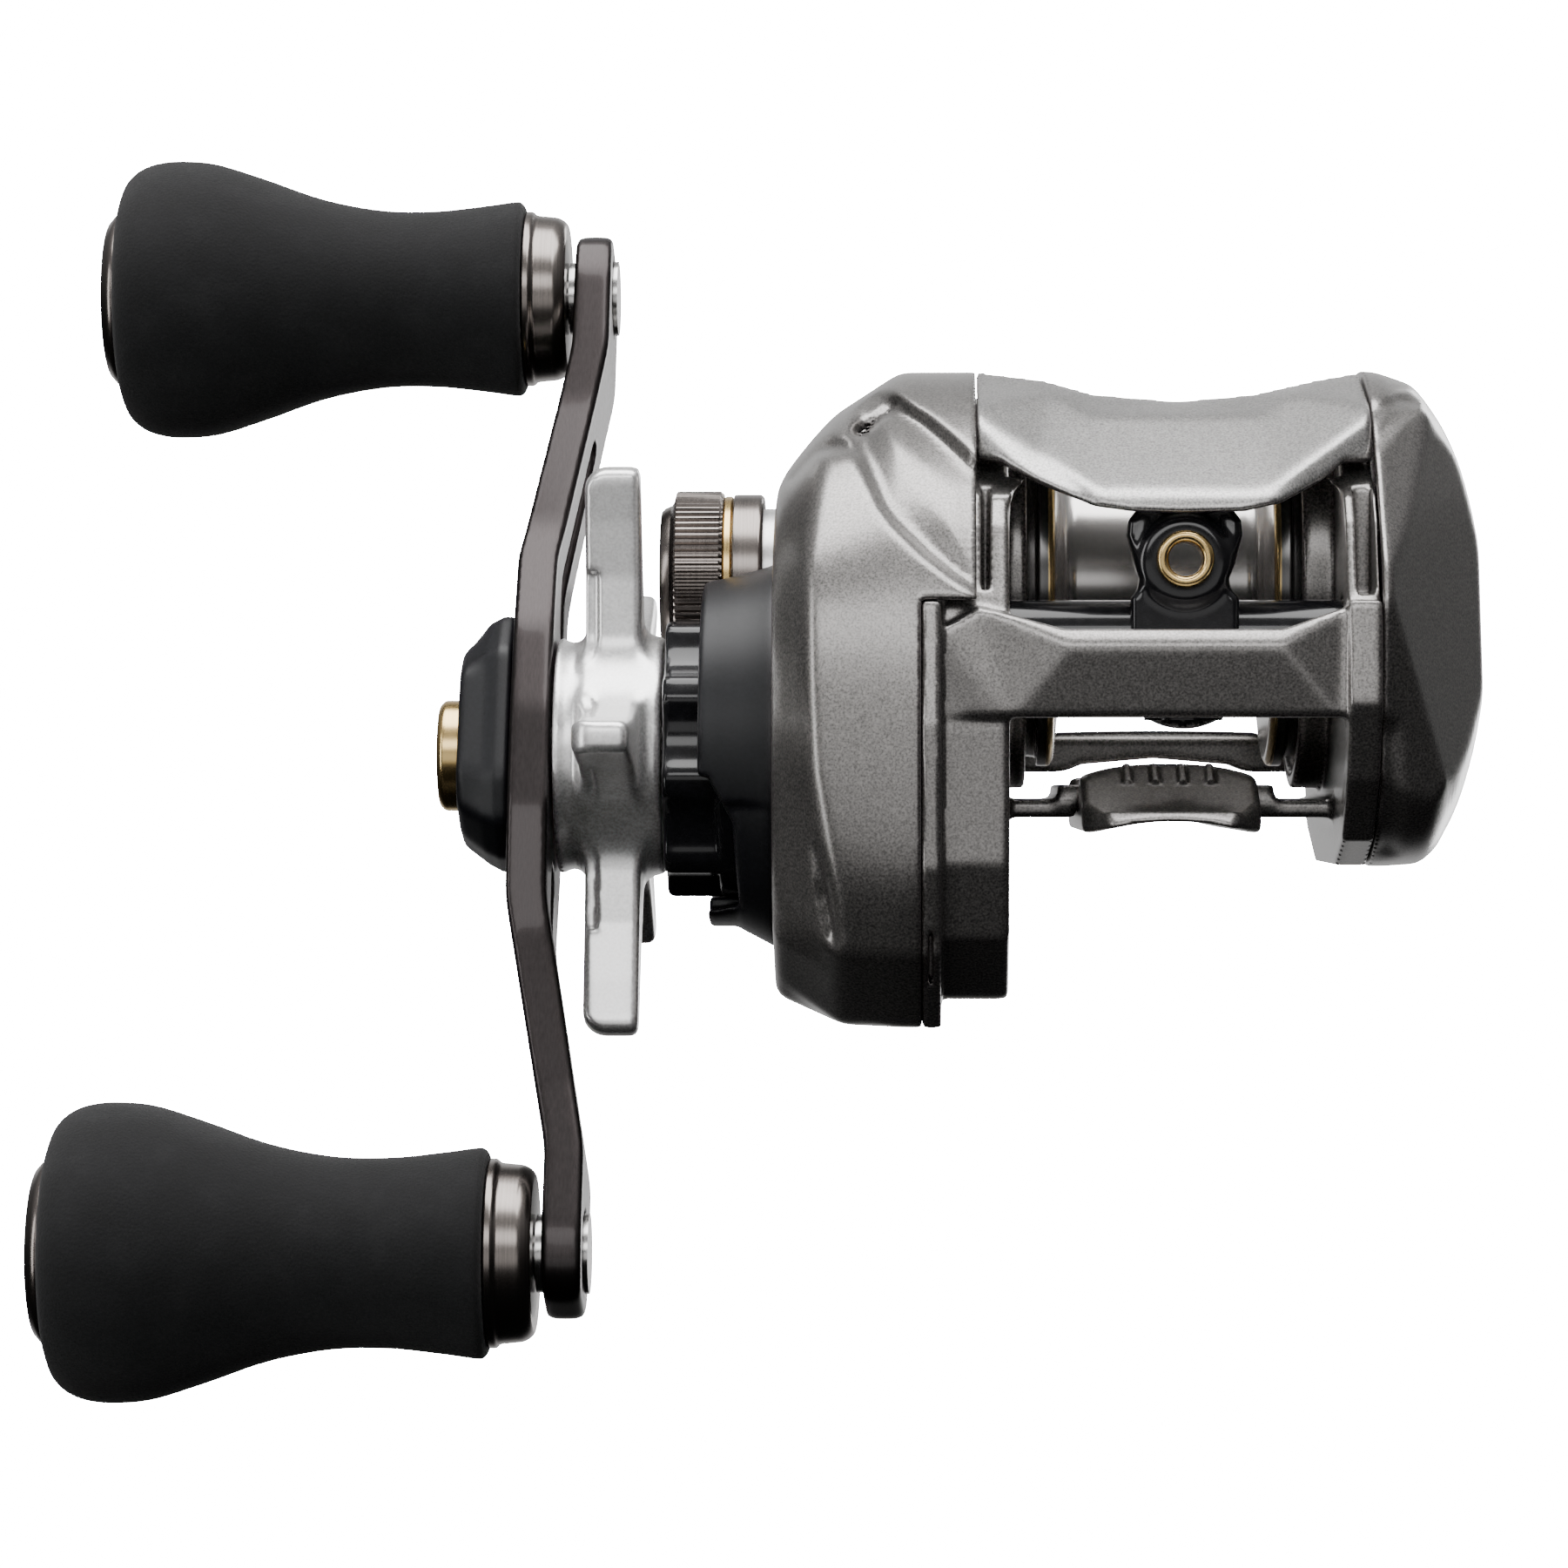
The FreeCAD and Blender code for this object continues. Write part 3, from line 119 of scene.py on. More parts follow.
def spread(tree, value, low, high, start=0.0, end=1.0):
    """A value that runs from start to end, mapped to run from low to high."""
    made = tree.nodes.new("ShaderNodeMapRange")
    put(made, {"From Min": start, "From Max": end, "To Min": low, "To Max": high})
    tree.links.new(value, made.inputs["Value"])
    return made.outputs["Result"]


def bump(tree, main, height, strength, distance):
    """Fine relief from a height value."""
    made = tree.nodes.new("ShaderNodeBump")
    put(made, {"Strength": strength, "Distance": distance})
    tree.links.new(height, made.inputs["Height"])
    tree.links.new(made.outputs["Normal"], main.inputs["Normal"])


def shade(colour, share):
    """A colour made darker or lighter."""
    return tuple(channel * share for channel in colour)


def flake_paint(name, colour, rough, metallic=0.9, grain=5200, depth=0.20, relief_share=0.10):
    """Metallic paint: fine bright and dark flakes under a thin clear coat."""
    material, tree, main, place = shader(name, colour, metallic, rough, 0.25, 0.16)
    flakes = noise(tree, place, grain, 1.5)
    tint = ramp(tree, flakes, [
        (0.30, shade(colour, 1 - 1.8 * depth)), (0.5, colour), (0.70, shade(colour, 1 + 1.6 * depth)),
    ])
    tree.links.new(tint, main.inputs["Base Color"])
    tree.links.new(spread(tree, flakes, rough - 0.07, rough + 0.07), main.inputs["Roughness"])
    bump(tree, main, flakes, relief_share, 0.00002)
    return material


def metal(name, colour, rough, grain=1500, vary=0.05, stretch=None, coat=0.0):
    """Bare or plated metal with a faint machining grain."""
    material, tree, main, place = shader(name, colour, 1.0, rough, coat, 0.08)
    lines = noise(tree, place, grain, 3.0, stretch)
    tint = ramp(tree, lines, [(0.3, shade(colour, 0.9)), (0.7, shade(colour, 1.08))])
    tree.links.new(tint, main.inputs["Base Color"])
    tree.links.new(spread(tree, lines, rough - vary, rough + vary), main.inputs["Roughness"])
    bump(tree, main, lines, 0.02, 0.00001)
    return material


def plastic(name, colour, rough, grain=2600, strength=0.15, coat=0.0):
    """Moulded or coated black, with a fine surface texture."""
    material, tree, main, place = shader(name, colour, 0.0, rough, coat, 0.05, 0.32)
    texture = noise(tree, place, grain, 3.0)
    tint = ramp(tree, texture, [(0.3, shade(colour, 0.8)), (0.7, shade(colour, 1.25))])
    tree.links.new(tint, main.inputs["Base Color"])
    tree.links.new(spread(tree, texture, rough - 0.05, rough + 0.05), main.inputs["Roughness"])
    bump(tree, main, texture, strength, 0.00003)
    return material


def foam_material():
    """Closed-cell foam: matt black with pin-sized cells and faint cloudy wear."""
    material, tree, main, place = shader("foam", (0.011, 0.011, 0.012), 0.0, 0.92)
    put(main, {"Specular IOR Level": 0.25, "Sheen Weight": 0.05, "Sheen Roughness": 0.6})
    clouds = noise(tree, place, 260, 4.0)
    cells = tree.nodes.new("ShaderNodeTexVoronoi")
    put(cells, {"Scale": 3400})
    tree.links.new(place, cells.inputs["Vector"])
    tint = ramp(tree, clouds, [
        (0.32, (0.0045, 0.0045, 0.0048)), (0.55, (0.007, 0.007, 0.0075)), (0.75, (0.011, 0.011, 0.0115)),
    ])
    tree.links.new(tint, main.inputs["Base Color"])
    tree.links.new(spread(tree, clouds, 0.86, 0.97), main.inputs["Roughness"])
    bump(tree, main, cells.outputs["Distance"], 0.35, 0.00006)
    return material


def spool_material():
    """Polished spool metal with a gold line inside each flange rim, and painted shade on the rim and lip
    outward of that line.
    """
    silver = (0.58, 0.56, 0.545)
    material, tree, main, place = shader("spool_silver", silver, 0.85, 0.22)
    parts = tree.nodes.new("ShaderNodeSeparateXYZ")
    tree.links.new(place, parts.inputs["Vector"])
    flat = tree.nodes.new("ShaderNodeMath")
    flat.operation = "ABSOLUTE"
    tree.links.new(parts.outputs["X"], flat.inputs[0])
    zone = spread(tree, flat.outputs["Value"], 0.0, 1.0, 0.0, 0.016)
    # outward of the gold line the colour drops to near black and climbs back slowly: painted shade where the
    # flange's rim and lip run into the frame
    gold, painted_flange_shade = (0.62, 0.46, 0.22), (0.10, 0.10, 0.10)
    colours = ramp(tree, zone, [
        (0.0, silver), (0.603, silver), (0.608, gold), (0.640, gold), (0.645, painted_flange_shade), (1.0, silver),
    ])
    lines = noise(tree, place, 900, 3.0, (9.0, 0.2, 0.2))
    tree.links.new(colours, main.inputs["Base Color"])
    tree.links.new(spread(tree, lines, 0.21, 0.23), main.inputs["Roughness"])
    return material


BODY = (0.235, 0.225, 0.218)
MATERIALS = {
    "body_paint": flake_paint("body_paint", BODY, 0.34),
    "hood_paint": flake_paint("hood_paint", (0.36, 0.353, 0.346), 0.36),
    "bright_silver": flake_paint("bright_silver", (0.76, 0.755, 0.75), 0.33, 0.82, 3800, 0.06, 0.02),
    "gunmetal": metal("gunmetal", (0.20, 0.178, 0.165), 0.25, 700, 0.02, (9.0, 0.2, 0.2)),
    "arm_gunmetal": metal("arm_gunmetal", (0.036, 0.031, 0.031), 0.36, 1300, 0.05, (6.0, 1.0, 1.0), 0.15),
    "gold": metal("gold", (0.66, 0.47, 0.20), 0.24, 700, 0.02, (9.0, 0.2, 0.2)),
    "matt_black": plastic("matt_black", (0.0035, 0.0035, 0.005), 0.44, 3600, 0.10),
    "gloss_black": plastic("gloss_black", (0.006, 0.006, 0.007), 0.17, 1400, 0.03, 0.25),
    "foam": foam_material(),
    "spool_silver": spool_material(),
    "steel": metal("steel", (0.56, 0.55, 0.54), 0.22, 1600, 0.05, (8.0, 1.0, 1.0)),
    "brass": metal("brass", (0.58, 0.42, 0.18), 0.25, 1600),
    "carbon": plastic("carbon", (0.02, 0.02, 0.021), 0.5, 1800, 0.3),
    "nylon": plastic("nylon", (0.35, 0.34, 0.31), 0.45, 2400, 0.1),
}


def dress(obj, slot):
    """Gives an object the material of its slot."""
    obj.data.materials.clear()
    obj.data.materials.append(MATERIALS[slot])


# Carved castings.


class Space:
    """A block of sample points that a casting is carved from."""

    def __init__(self, low, high, step):
        self.low = np.array(low, np.float64)
        self.step = step
        lines = []
        for start, end in zip(low, high):
            count = int(math.ceil((end - start) / step)) + 1
            lines.append((start + step * np.arange(count)).astype(np.float32))
        self.x = lines[0][:, None, None]
        self.y = lines[1][None, :, None]
        self.z = lines[2][None, None, :]
        self.shape = tuple(len(line) for line in lines)

    def rod(self, centre, radius):
        """Distance to a cylinder along X."""
        return np.hypot(self.y - centre[0], self.z - centre[1]) - radius

    def upright(self, centre, radius):
        """Distance to a cylinder along Z."""
        return np.hypot(self.x - centre[0], self.y - centre[1]) - radius

    def bore(self, centre, radius):
        """Distance to a cylinder along Y."""
        return np.hypot(self.x - centre[0], self.z - centre[1]) - radius

    def along(self, start, end):
        return span(self.x, start, end)

    def plug(self, centre, radius, start, end, round_by=0.0):
        """Distance to a cylinder along X between two planes."""
        return both(self.rod(centre, radius), self.along(start, end), round_by)

    def pin(self, centre, radius, start, end):
        """Distance to a cylinder along Z between two planes."""
        return both(self.upright(centre, radius), span(self.z, start, end))

    def box(self, across, deep, tall, round_by=0.0):
        """Distance to a block, from its (start, end) along X, Y and Z."""
        return every([span(self.x, *across), span(self.y, *deep), span(self.z, *tall)], round_by)

    def side(self, points):
        """Distance to an outline in the (y, z) plane."""
        return polygon(self.y, self.z, points)

    def front(self, points):
        """Distance to an outline in the (x, z) plane."""
        return polygon(self.x, self.z, points)

    def plan(self, points):
        """Distance to an outline in the (x, y) plane."""
        return polygon(self.x, self.y, points)

    def full(self, values):
        """The values at every sample point."""
        return np.broadcast_to(values, self.shape).astype(np.float32)

    def soften(self, values, radius):
        """The field blurred over a radius, which rounds its creases."""
        values = self.full(values)
        sigma = radius / self.step
        reach = max(1, int(math.ceil(2.2 * sigma)))
        offsets = np.arange(-reach, reach + 1)
        weights = np.exp(-0.5 * (offsets / sigma) ** 2)
        weights /= weights.sum()
        for axis in range(3):
            padding = [(0, 0)] * 3
            padding[axis] = (reach, reach)
            wide = np.pad(values, padding, mode="reflect", reflect_type="odd")
            total = np.zeros_like(values)
            for index, weight in enumerate(weights):
                total += weight * wide.take(range(index, index + values.shape[axis]), axis)
            values = total
        return values


def span(line, start, end):
    """Distance to the gap between two planes."""
    return np.maximum(start - line, line - end)


def either(first, second, round_by=0.0):
    """Union, with its inner corner rounded."""
    if not round_by:
        return np.minimum(first, second)
    share = np.maximum(round_by - np.abs(first - second), 0) / round_by
    return np.minimum(first, second) - share * share * round_by / 4


def both(first, second, round_by=0.0):
    """Intersection, with its edge rounded."""
    return -either(-first, -second, round_by)


def without(first, second, round_by=0.0):
    """The first field with the second cut away."""
    return -either(-first, second, round_by)


def every(fields, round_by=0.0):
    """Intersection of all fields."""
    result = fields[0]
    for field in fields[1:]:
        result = both(result, field, round_by)
    return result


def any_of(fields, round_by=0.0):
    """Union of all fields."""
    result = fields[0]
    for field in fields[1:]:
        result = either(result, field, round_by)
    return result


def polygon(across, up, points):
    """Signed distance to a closed outline, negative inside."""
    across, up = np.broadcast_arrays(across, up)
    nearest = np.full(across.shape, np.inf, np.float32)
    inside = np.zeros(across.shape, bool)
    for (a, b), (c, d) in zip(points, points[1:] + points[:1]):
        run, rise = c - a, d - b
        share = ((across - a) * run + (up - b) * rise) / (run * run + rise * rise)
        share = np.clip(share, 0, 1)
        nearest = np.minimum(nearest, (across - a - run * share) ** 2 + (up - b - rise * share) ** 2)
        if b != d:
            inside ^= ((b > up) != (d > up)) & (across < run * (up - b) / rise + a)
    return np.where(inside, -1, 1).astype(np.float32) * np.sqrt(nearest)


def polyline_side(across, up, points):
    """Signed distance to an open line; positive on its left, going along the points."""
    across, up = np.broadcast_arrays(across, up)
    nearest = np.full(across.shape, np.inf, np.float32)
    sign = np.ones(across.shape, np.float32)
    for (a, b), (c, d) in zip(points, points[1:]):
        run, rise = c - a, d - b
        share = np.clip(((across - a) * run + (up - b) * rise) / (run * run + rise * rise), 0, 1)
        gap = (across - a - run * share) ** 2 + (up - b - rise * share) ** 2
        cross = run * (up - b) - rise * (across - a)
        closer = gap < nearest
        nearest = np.where(closer, gap, nearest)
        sign = np.where(closer, np.where(cross >= 0, 1, -1), sign)
    return sign * np.sqrt(nearest)


def morph(space, stations):
    """A field whose side outline changes along X through (x, outline field) stations."""
    result = space.full(stations[0][1])
    for (start, before), (end, after) in zip(stations, stations[1:]):
        share = np.clip((space.x - start) / (end - start), 0, 1)
        result = np.where(space.x > start, before + share * (after - before), result)
    return result


def bend(before, start, end, after, t):
    """A point between start and end on a smooth line through four points."""
    place = 0.5 * ((2 * start) + (end - before) * t + (2 * before - 5 * start + 4 * end - after) * t * t
                   + (3 * start - before - 3 * end + after) * t ** 3)
    return (place.x, place.y)


def eased(points, sharp=()):
    """A closed outline made smooth, but for the corners listed by number."""
    result = []
    count = len(points)
    for index in range(count):
        here, ahead = Vector(points[index]), Vector(points[(index + 1) % count])
        back = 2 * here - ahead if index in sharp else Vector(points[index - 1])
        beyond = 2 * ahead - here if (index + 1) % count in sharp else Vector(points[(index + 2) % count])
        result += [bend(back, here, ahead, beyond, step / 5) for step in range(5)]
    return result


def relief(space, corners, facets):
    """Front surface y over (x, z): flat facets between named corners (x, z, y), NaN outside them."""
    across, up = np.broadcast_arrays(space.x, space.z)
    result = np.full(across.shape, np.nan, np.float32)
    for names in facets.split(","):
        a, b, c = (corners[name] for name in names.split())
        twice = (b[0] - a[0]) * (c[1] - a[1]) - (c[0] - a[0]) * (b[1] - a[1])
        u = ((across - a[0]) * (c[1] - a[1]) - (c[0] - a[0]) * (up - a[1])) / twice
        v = ((b[0] - a[0]) * (up - a[1]) - (across - a[0]) * (b[1] - a[1])) / twice
        hit = (u >= -1e-4) & (v >= -1e-4) & (u + v <= 1.0002)
        height = a[2] + u * (b[2] - a[2]) + v * (c[2] - a[2])
        result = np.where(hit, height, result)
    return result


def looked_up(grid, places):
    """Trilinear samples of a grid at places in grid units."""
    top = np.array(grid.shape) - 2
    base = np.clip(np.floor(places).astype(int), 0, top)
    share = places - base
    total = np.zeros(len(places))
    for corner in np.ndindex(2, 2, 2):
        weight = np.ones(len(places))
        for axis in range(3):
            weight = weight * (share[:, axis] if corner[axis] else 1 - share[:, axis])
        index = base + np.array(corner)
        total += weight * grid[index[:, 0], index[:, 1], index[:, 2]]
    return total


def net(values):
    """Quads on the zero surface of a grid: one point per crossed cell, in grid units."""
    inside = values < 0
    cells = tuple(n - 1 for n in values.shape)
    count = np.zeros(cells, np.int8)
    for corner in np.ndindex(2, 2, 2):
        cut = tuple(slice(c, c + n) for c, n in zip(corner, cells))
        count += inside[cut]
    crossed = np.argwhere((count > 0) & (count < 8))
    number = np.full(cells, -1, np.int64)
    number[tuple(crossed.T)] = np.arange(len(crossed))
    points = np.zeros((len(crossed), 3))
    hits = np.zeros(len(crossed))
    for corner in np.ndindex(2, 2, 2):
        for axis in range(3):
            if corner[axis]:
                continue
            start = crossed + np.array(corner)
            step = np.zeros(3, int)
            step[axis] = 1
            end = start + step
            first = values[tuple(start.T)]
            second = values[tuple(end.T)]
            change = (first < 0) != (second < 0)
            share = first / np.where(change, first - second, 1)
            place = np.array(corner) + share[:, None] * step
            points += np.where(change[:, None], place, 0)
            hits += change
    points = crossed + points / hits[:, None]
    quads = []
    for axis in range(3):
        low = [slice(None)] * 3
        high = [slice(None)] * 3
        low[axis] = slice(0, -1)
        high[axis] = slice(1, None)
        first = inside[tuple(low)]
        change = np.argwhere(first != inside[tuple(high)])
        one, two = (axis + 1) % 3, (axis + 2) % 3
        keep = (change[:, one] > 0) & (change[:, two] > 0)
        keep &= (change[:, one] < values.shape[one] - 1) & (change[:, two] < values.shape[two] - 1)
        change = change[keep]
        ring = []
        for back_one, back_two in ((1, 1), (0, 1), (0, 0), (1, 0)):
            cell = change.copy()
            cell[:, one] -= back_one
            cell[:, two] -= back_two
            ring.append(number[tuple(cell.T)])
        ring = np.stack(ring, 1)
        outward = first[tuple(change.T)]
        ring[~outward] = ring[~outward][:, ::-1]
        quads.append(ring)
    return points, np.concatenate(quads)


def swing():
    """Turns a piece drawn along Z, about the drive shaft, to the handle's angle."""
    return Matrix.Translation((0, DRIVE[0] * MM, DRIVE[1] * MM)) @ Matrix.Rotation(ARM_TURN, 4, "X")


def add_mesh(name, points, faces, slot, body, replaces=(), turn=None, normals=None):
    """Writes a mesh given in millimetres and hangs it on its CAD body."""
    mesh = bpy.data.meshes.new(name)
    points = np.asarray(points, float) * MM
    if turn is not None:
        turn = np.array(turn)
        points = points @ turn[:3, :3].T + turn[:3, 3]
        if normals is not None:
            normals = normals @ turn[:3, :3].T
    mesh.from_pydata(points.tolist(), [], [list(face) for face in faces])
    mesh.update()
    obj = bpy.data.objects.new(name, mesh)
    bpy.context.scene.collection.objects.link(obj)
    mesh.shade_smooth()
    if normals is not None:
        mesh.normals_split_custom_set_from_vertices(normals.tolist())
    dress(obj, slot)
    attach(obj, body)
    if replaces:
        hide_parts(*replaces)
    return obj


def carve(name, space, values, slot, body, replaces=(), turn=None):
    """The zero surface of a field as a piece, with shading normals from the field's slope."""
    values = space.full(values)
    points, quads = net(values)
    slopes = np.gradient(values)
    for _ in range(3):
        height = looked_up(values, points)
        slope = np.stack([looked_up(part, points) for part in slopes], 1)
        steep = np.maximum((slope ** 2).sum(1), 1e-4)
        step = -(height / steep)[:, None] * slope
        length = np.linalg.norm(step, axis=1, keepdims=True)
        points = points + step * np.minimum(1, 0.35 / np.maximum(length, 1e-9))
    slope = np.stack([looked_up(part, points) for part in slopes], 1)
    normals = slope / np.maximum(np.linalg.norm(slope, axis=1, keepdims=True), 1e-9)
    places = space.low + points * space.step
    add_mesh(name, places, quads, slot, body, replaces, turn, normals)


# Turned pieces.


def rounded(profile, radius, steps=4):
    """A closed profile with its corners replaced by short arcs."""
    result = []
    count = len(profile)
    for index in range(count):
        before, here, after = (Vector(profile[(index + k) % count]) for k in (-1, 0, 1))
        back, ahead = before - here, after - here
        reach = min(radius, back.length * 0.45, ahead.length * 0.45)
        if here.y < 1e-6 or reach < 1e-4:
            result.append(tuple(here))
            continue
        start = here + back.normalized() * reach
        end = here + ahead.normalized() * reach
        for step in range(steps + 1):
            t = step / steps
            place = start.lerp(here, t).lerp(here.lerp(end, t), t)
            result.append((place.x, place.y))
    return result


def curved(points, steps=5):
    """A smooth open line through points."""
    points = [Vector(p) for p in points]
    result = []
    for index in range(len(points) - 1):
        before, after = points[max(index - 1, 0)], points[min(index + 2, len(points) - 1)]
        start, end = points[index], points[index + 1]
        result += [bend(before, start, end, after, step / steps) for step in range(steps)]
    result.append(tuple(points[-1]))
    return result


def lathe(name, profile, centre, slot, body, replaces=(), segments=96, radius_at=None, axis="X", sharp=32):
    """Spins a closed profile of (along, radius) about an axis; radius_at may add ribs."""
    points, rings = [], []
    for along, radius in profile:
        if radius < 1e-6:
            rings.append([len(points)])
            points.append((along, 0.0, 0.0))
            continue
        rings.append(list(range(len(points), len(points) + segments)))
        for index in range(segments):
            turn = 2 * math.pi * index / segments
            here = radius_at(along, radius, turn) if radius_at else radius
            points.append((along, here * math.cos(turn), here * math.sin(turn)))
    faces = []
    for near, far in zip(rings, rings[1:] + rings[:1]):
        if len(near) == 1 and len(far) == 1:
            continue
        for index in range(segments):
            after = (index + 1) % segments
            if len(near) == 1:
                faces.append((near[0], far[after], far[index]))
            elif len(far) == 1:
                faces.append((near[index], near[after], far[0]))
            else:
                faces.append((near[index], near[after], far[after], far[index]))
    if axis == "X":
        places = [(a, centre[0] + b, centre[1] + c) for a, b, c in points]
    else:
        places = [(centre[0] + b, a, centre[1] + c) for a, b, c in points]
    obj = add_mesh(name, places, faces, slot, body, replaces)
    work = bmesh.new()
    work.from_mesh(obj.data)
    bmesh.ops.recalc_face_normals(work, faces=work.faces)
    work.to_mesh(obj.data)
    work.free()
    obj.data.set_sharp_from_angle(angle=math.radians(sharp))
    weighted = obj.modifiers.new("shading", "WEIGHTED_NORMAL")
    weighted.keep_sharp = True
    return obj


# Side outlines.

# (y, z) outlines at the seam, where the side turns in, and at the outer face
TOP_LINE = [(-31.2, 19.9), (-27.5, 28), (-20, 35.2), (-9, 40.2), (2, 41.5), (13, 40.2), (22.5, 35)]
GEAR_SIDE = TOP_LINE + [
    (28.5, 26), (30.5, 14), (28.5, 2), (22.5, -8.5), (12, -15),
    (0, -17), (-19, -17), (-29.5, -10.5), (-32, -3), (-32.5, 9),
]
GEAR_SHOULDER = [
    (-30.2, 19.4), (-26.4, 26.6), (-20, 32.6), (-9.5, 36.6), (2, 37.8), (12.6, 36.6),
    (21.3, 32), (26.8, 24.3), (28.8, 13.4), (27, 2), (21.3, -8.3), (11.4, -14.6),
    (0, -16.8), (-17.5, -16.8), (-28.4, -10.3), (-30.9, -3), (-31.4, 8.6),
]
GEAR_OUTER = [
    (-24, 18.6), (-21.5, 23.4), (-16, 27.6), (-7.8, 30.4), (3, 31.2), (11.3, 30),
    (17.8, 26.8), (22, 20.4), (23.6, 12.2), (22, 2.3), (17.4, -6.6), (9.4, -12),
    (0, -14.2), (-13.4, -14.2), (-21.6, -8.6), (-24.2, -2.6), (-25, 7.6),
]
PALM_SIDE = TOP_LINE + [
    (29, 27), (31.5, 17.5), (29.5, 7), (24, 0), (13, -2.9),
    (0, -2.9), (-13, -2.9), (-22, -0.6), (-28.5, 4.5), (-31.8, 11),
]
PALM_SHOULDER = [
    (-29, 19.5), (-25.5, 26.5), (-18.5, 33), (-8.5, 37.6), (2, 38.8), (12.5, 37.4),
    (21, 32), (26.8, 25), (29, 17), (27, 8), (21.5, 1.5), (12, -2),
    (0, -2.4), (-12, -2.4), (-20.5, 0), (-26.5, 5), (-29.3, 11),
]
PALM_OUTER = [
    (-20, 20), (-17, 25.5), (-12, 29.8), (-5.5, 32.2), (2, 32.9), (9.5, 32),
    (16, 28.5), (20, 23), (21, 17), (19, 11), (14.5, 6.5), (8, 4.2),
    (0, 3.8), (-8, 4.2), (-14, 6.4), (-18.3, 10), (-20.3, 14.5),
]
GEAR_FACE = -34.4
COVER_SCREWS = [(-26, -5.5), (24.5, 21), (4.5, -13)]
HOOD_SCREWS = [(-15, -14.6), (15.9, -14.6)]
FOOT_SCREWS = [(x, y) for x in (-4, 4) for y in (-9, 18)]
RETAINER_SCREW = (0, 8.6)


# Gear side cover.

PANEL_EDGE = [
    (-27.6, 33.4), (-27.2, 32.5), (-25.2, 27.9), (-24.1, 26.3), (-21.4, 23.6), (-19.1, 21.7), (-16, 19.6),
]
NOSE_RIDGE = [(-26.2, 40.5), (-23.9, 38.6), (-20.6, 36.2), (-18.6, 34.3), (-16, 31.6)]


def gear_cover():
    space = Space((-36, -34, -18.5), (-15.6, 32, 43), 0.35)
    side, shoulder, outer = (space.side(eased(p, (13, 14))) for p in (GEAR_SIDE, GEAR_SHOULDER, GEAR_OUTER))
    heights = [-11, -5.6, -0.5, 5.5, 13, 23, 30, 38]
    ridge = np.interp(space.z, heights, [-28.6, -28.6, -29.5, -30.6, -31, -31.2, -30.4, -29.2])
    hull = morph(space, [(-36, outer), (-34.6, outer), (ridge, shoulder), (-23.5, side), (-16, side)])
    hull = space.soften(hull, 0.55)
    hull = both(hull, GEAR_FACE - space.x, 1.2)
    # the proud front panel, and the scooped field to the right of it
    region = PANEL_EDGE + [(-15, 31.6)] + NOSE_RIDGE[::-1] + [(-27.6, 37)]
    depth_in = -space.front(region)
    scoop = np.interp(depth_in, [-0.3, 0.05, 0.8, 1.5, 3.6, 7], [0, 0.15, 1.3, 1.3, 0.8, 0.6])
    front_half = np.clip((-8 - space.y) / 6, 0, 1)
    shell = hull + scoop.astype(np.float32) * front_half
    # the flank below the panel, left of the ridge, and its long dimple
    dimple = [
        (-30.7, -0.2), (-30, -1.6), (-29, -5.4), (-28.5, -8.3), (-28.7, -10.2), (-29.5, -8.8), (-30.3, -5),
    ]
    pressed = np.interp(-space.front(dimple), [-0.4, 0, 0.5, 1], [0, 0.15, 1.1, 1.4])
    shell = shell + pressed.astype(np.float32) * np.clip((-20 - space.y) / 3, 0, 1)
    # the vent over the panel
    trough = [
        (-33.6, 31), (-31.3, 33.7), (-30.2, 34.6), (-27.9, 34.4), (-27, 32.9), (-30.6, 32.7), (-33, 30.4),
    ]
    slot = [(-27.9, 34.7), (-27.6, 35.7), (-23.8, 38.1), (-23.2, 37.9), (-27, 34.6)]
    lowered = np.interp(-space.front(trough), [-0.4, 0, 0.8], [0, 0.15, 0.8])
    lowered = np.maximum(lowered, np.interp(-space.front(slot), [-0.3, 0, 0.6], [0, 0.2, 1.2]))
    shell = shell + lowered.astype(np.float32) * np.clip((4 - space.y) / 4, 0, 1)
    shell = space.soften(shell, 0.22)
    inside = hull + 1.9
    inside = both(inside, -(33 + space.x))
    shell = without(shell, inside)
    shell = both(shell, space.x + 16.72, 0.12)
    shell = without(shell, both(-21.42 - space.x, space.z - 19.9), 0.12)
    seat = space.plug(SPOOL, 5.2, -33.9, -30.9)
    shell = either(shell, seat, 0.3)
    for place in COVER_SCREWS:
        lug = space.plug(place, 2.3, -28.4, -21.5)
        shell = either(shell, both(lug, hull + 0.6), 0.3)
    shell = without(shell, space.plug(SPOOL, 4.05, -40, -30.6), 0.1)
    shell = without(shell, space.plug(DRIVE, 9.65, -40, -31.9), 0.1)
    for place in COVER_SCREWS:
        shell = without(shell, space.plug(place, 0.92, -27.8, -20))
    for place in COVER_SCREWS[1:]:
        shell = without(shell, space.plug(place, 1.8, -40, -27.6), 0.2)
    carve("gear_side_cover_shell", space, shell, "body_paint", "frame", ["gear_side_cover"])


# Palm side cover.


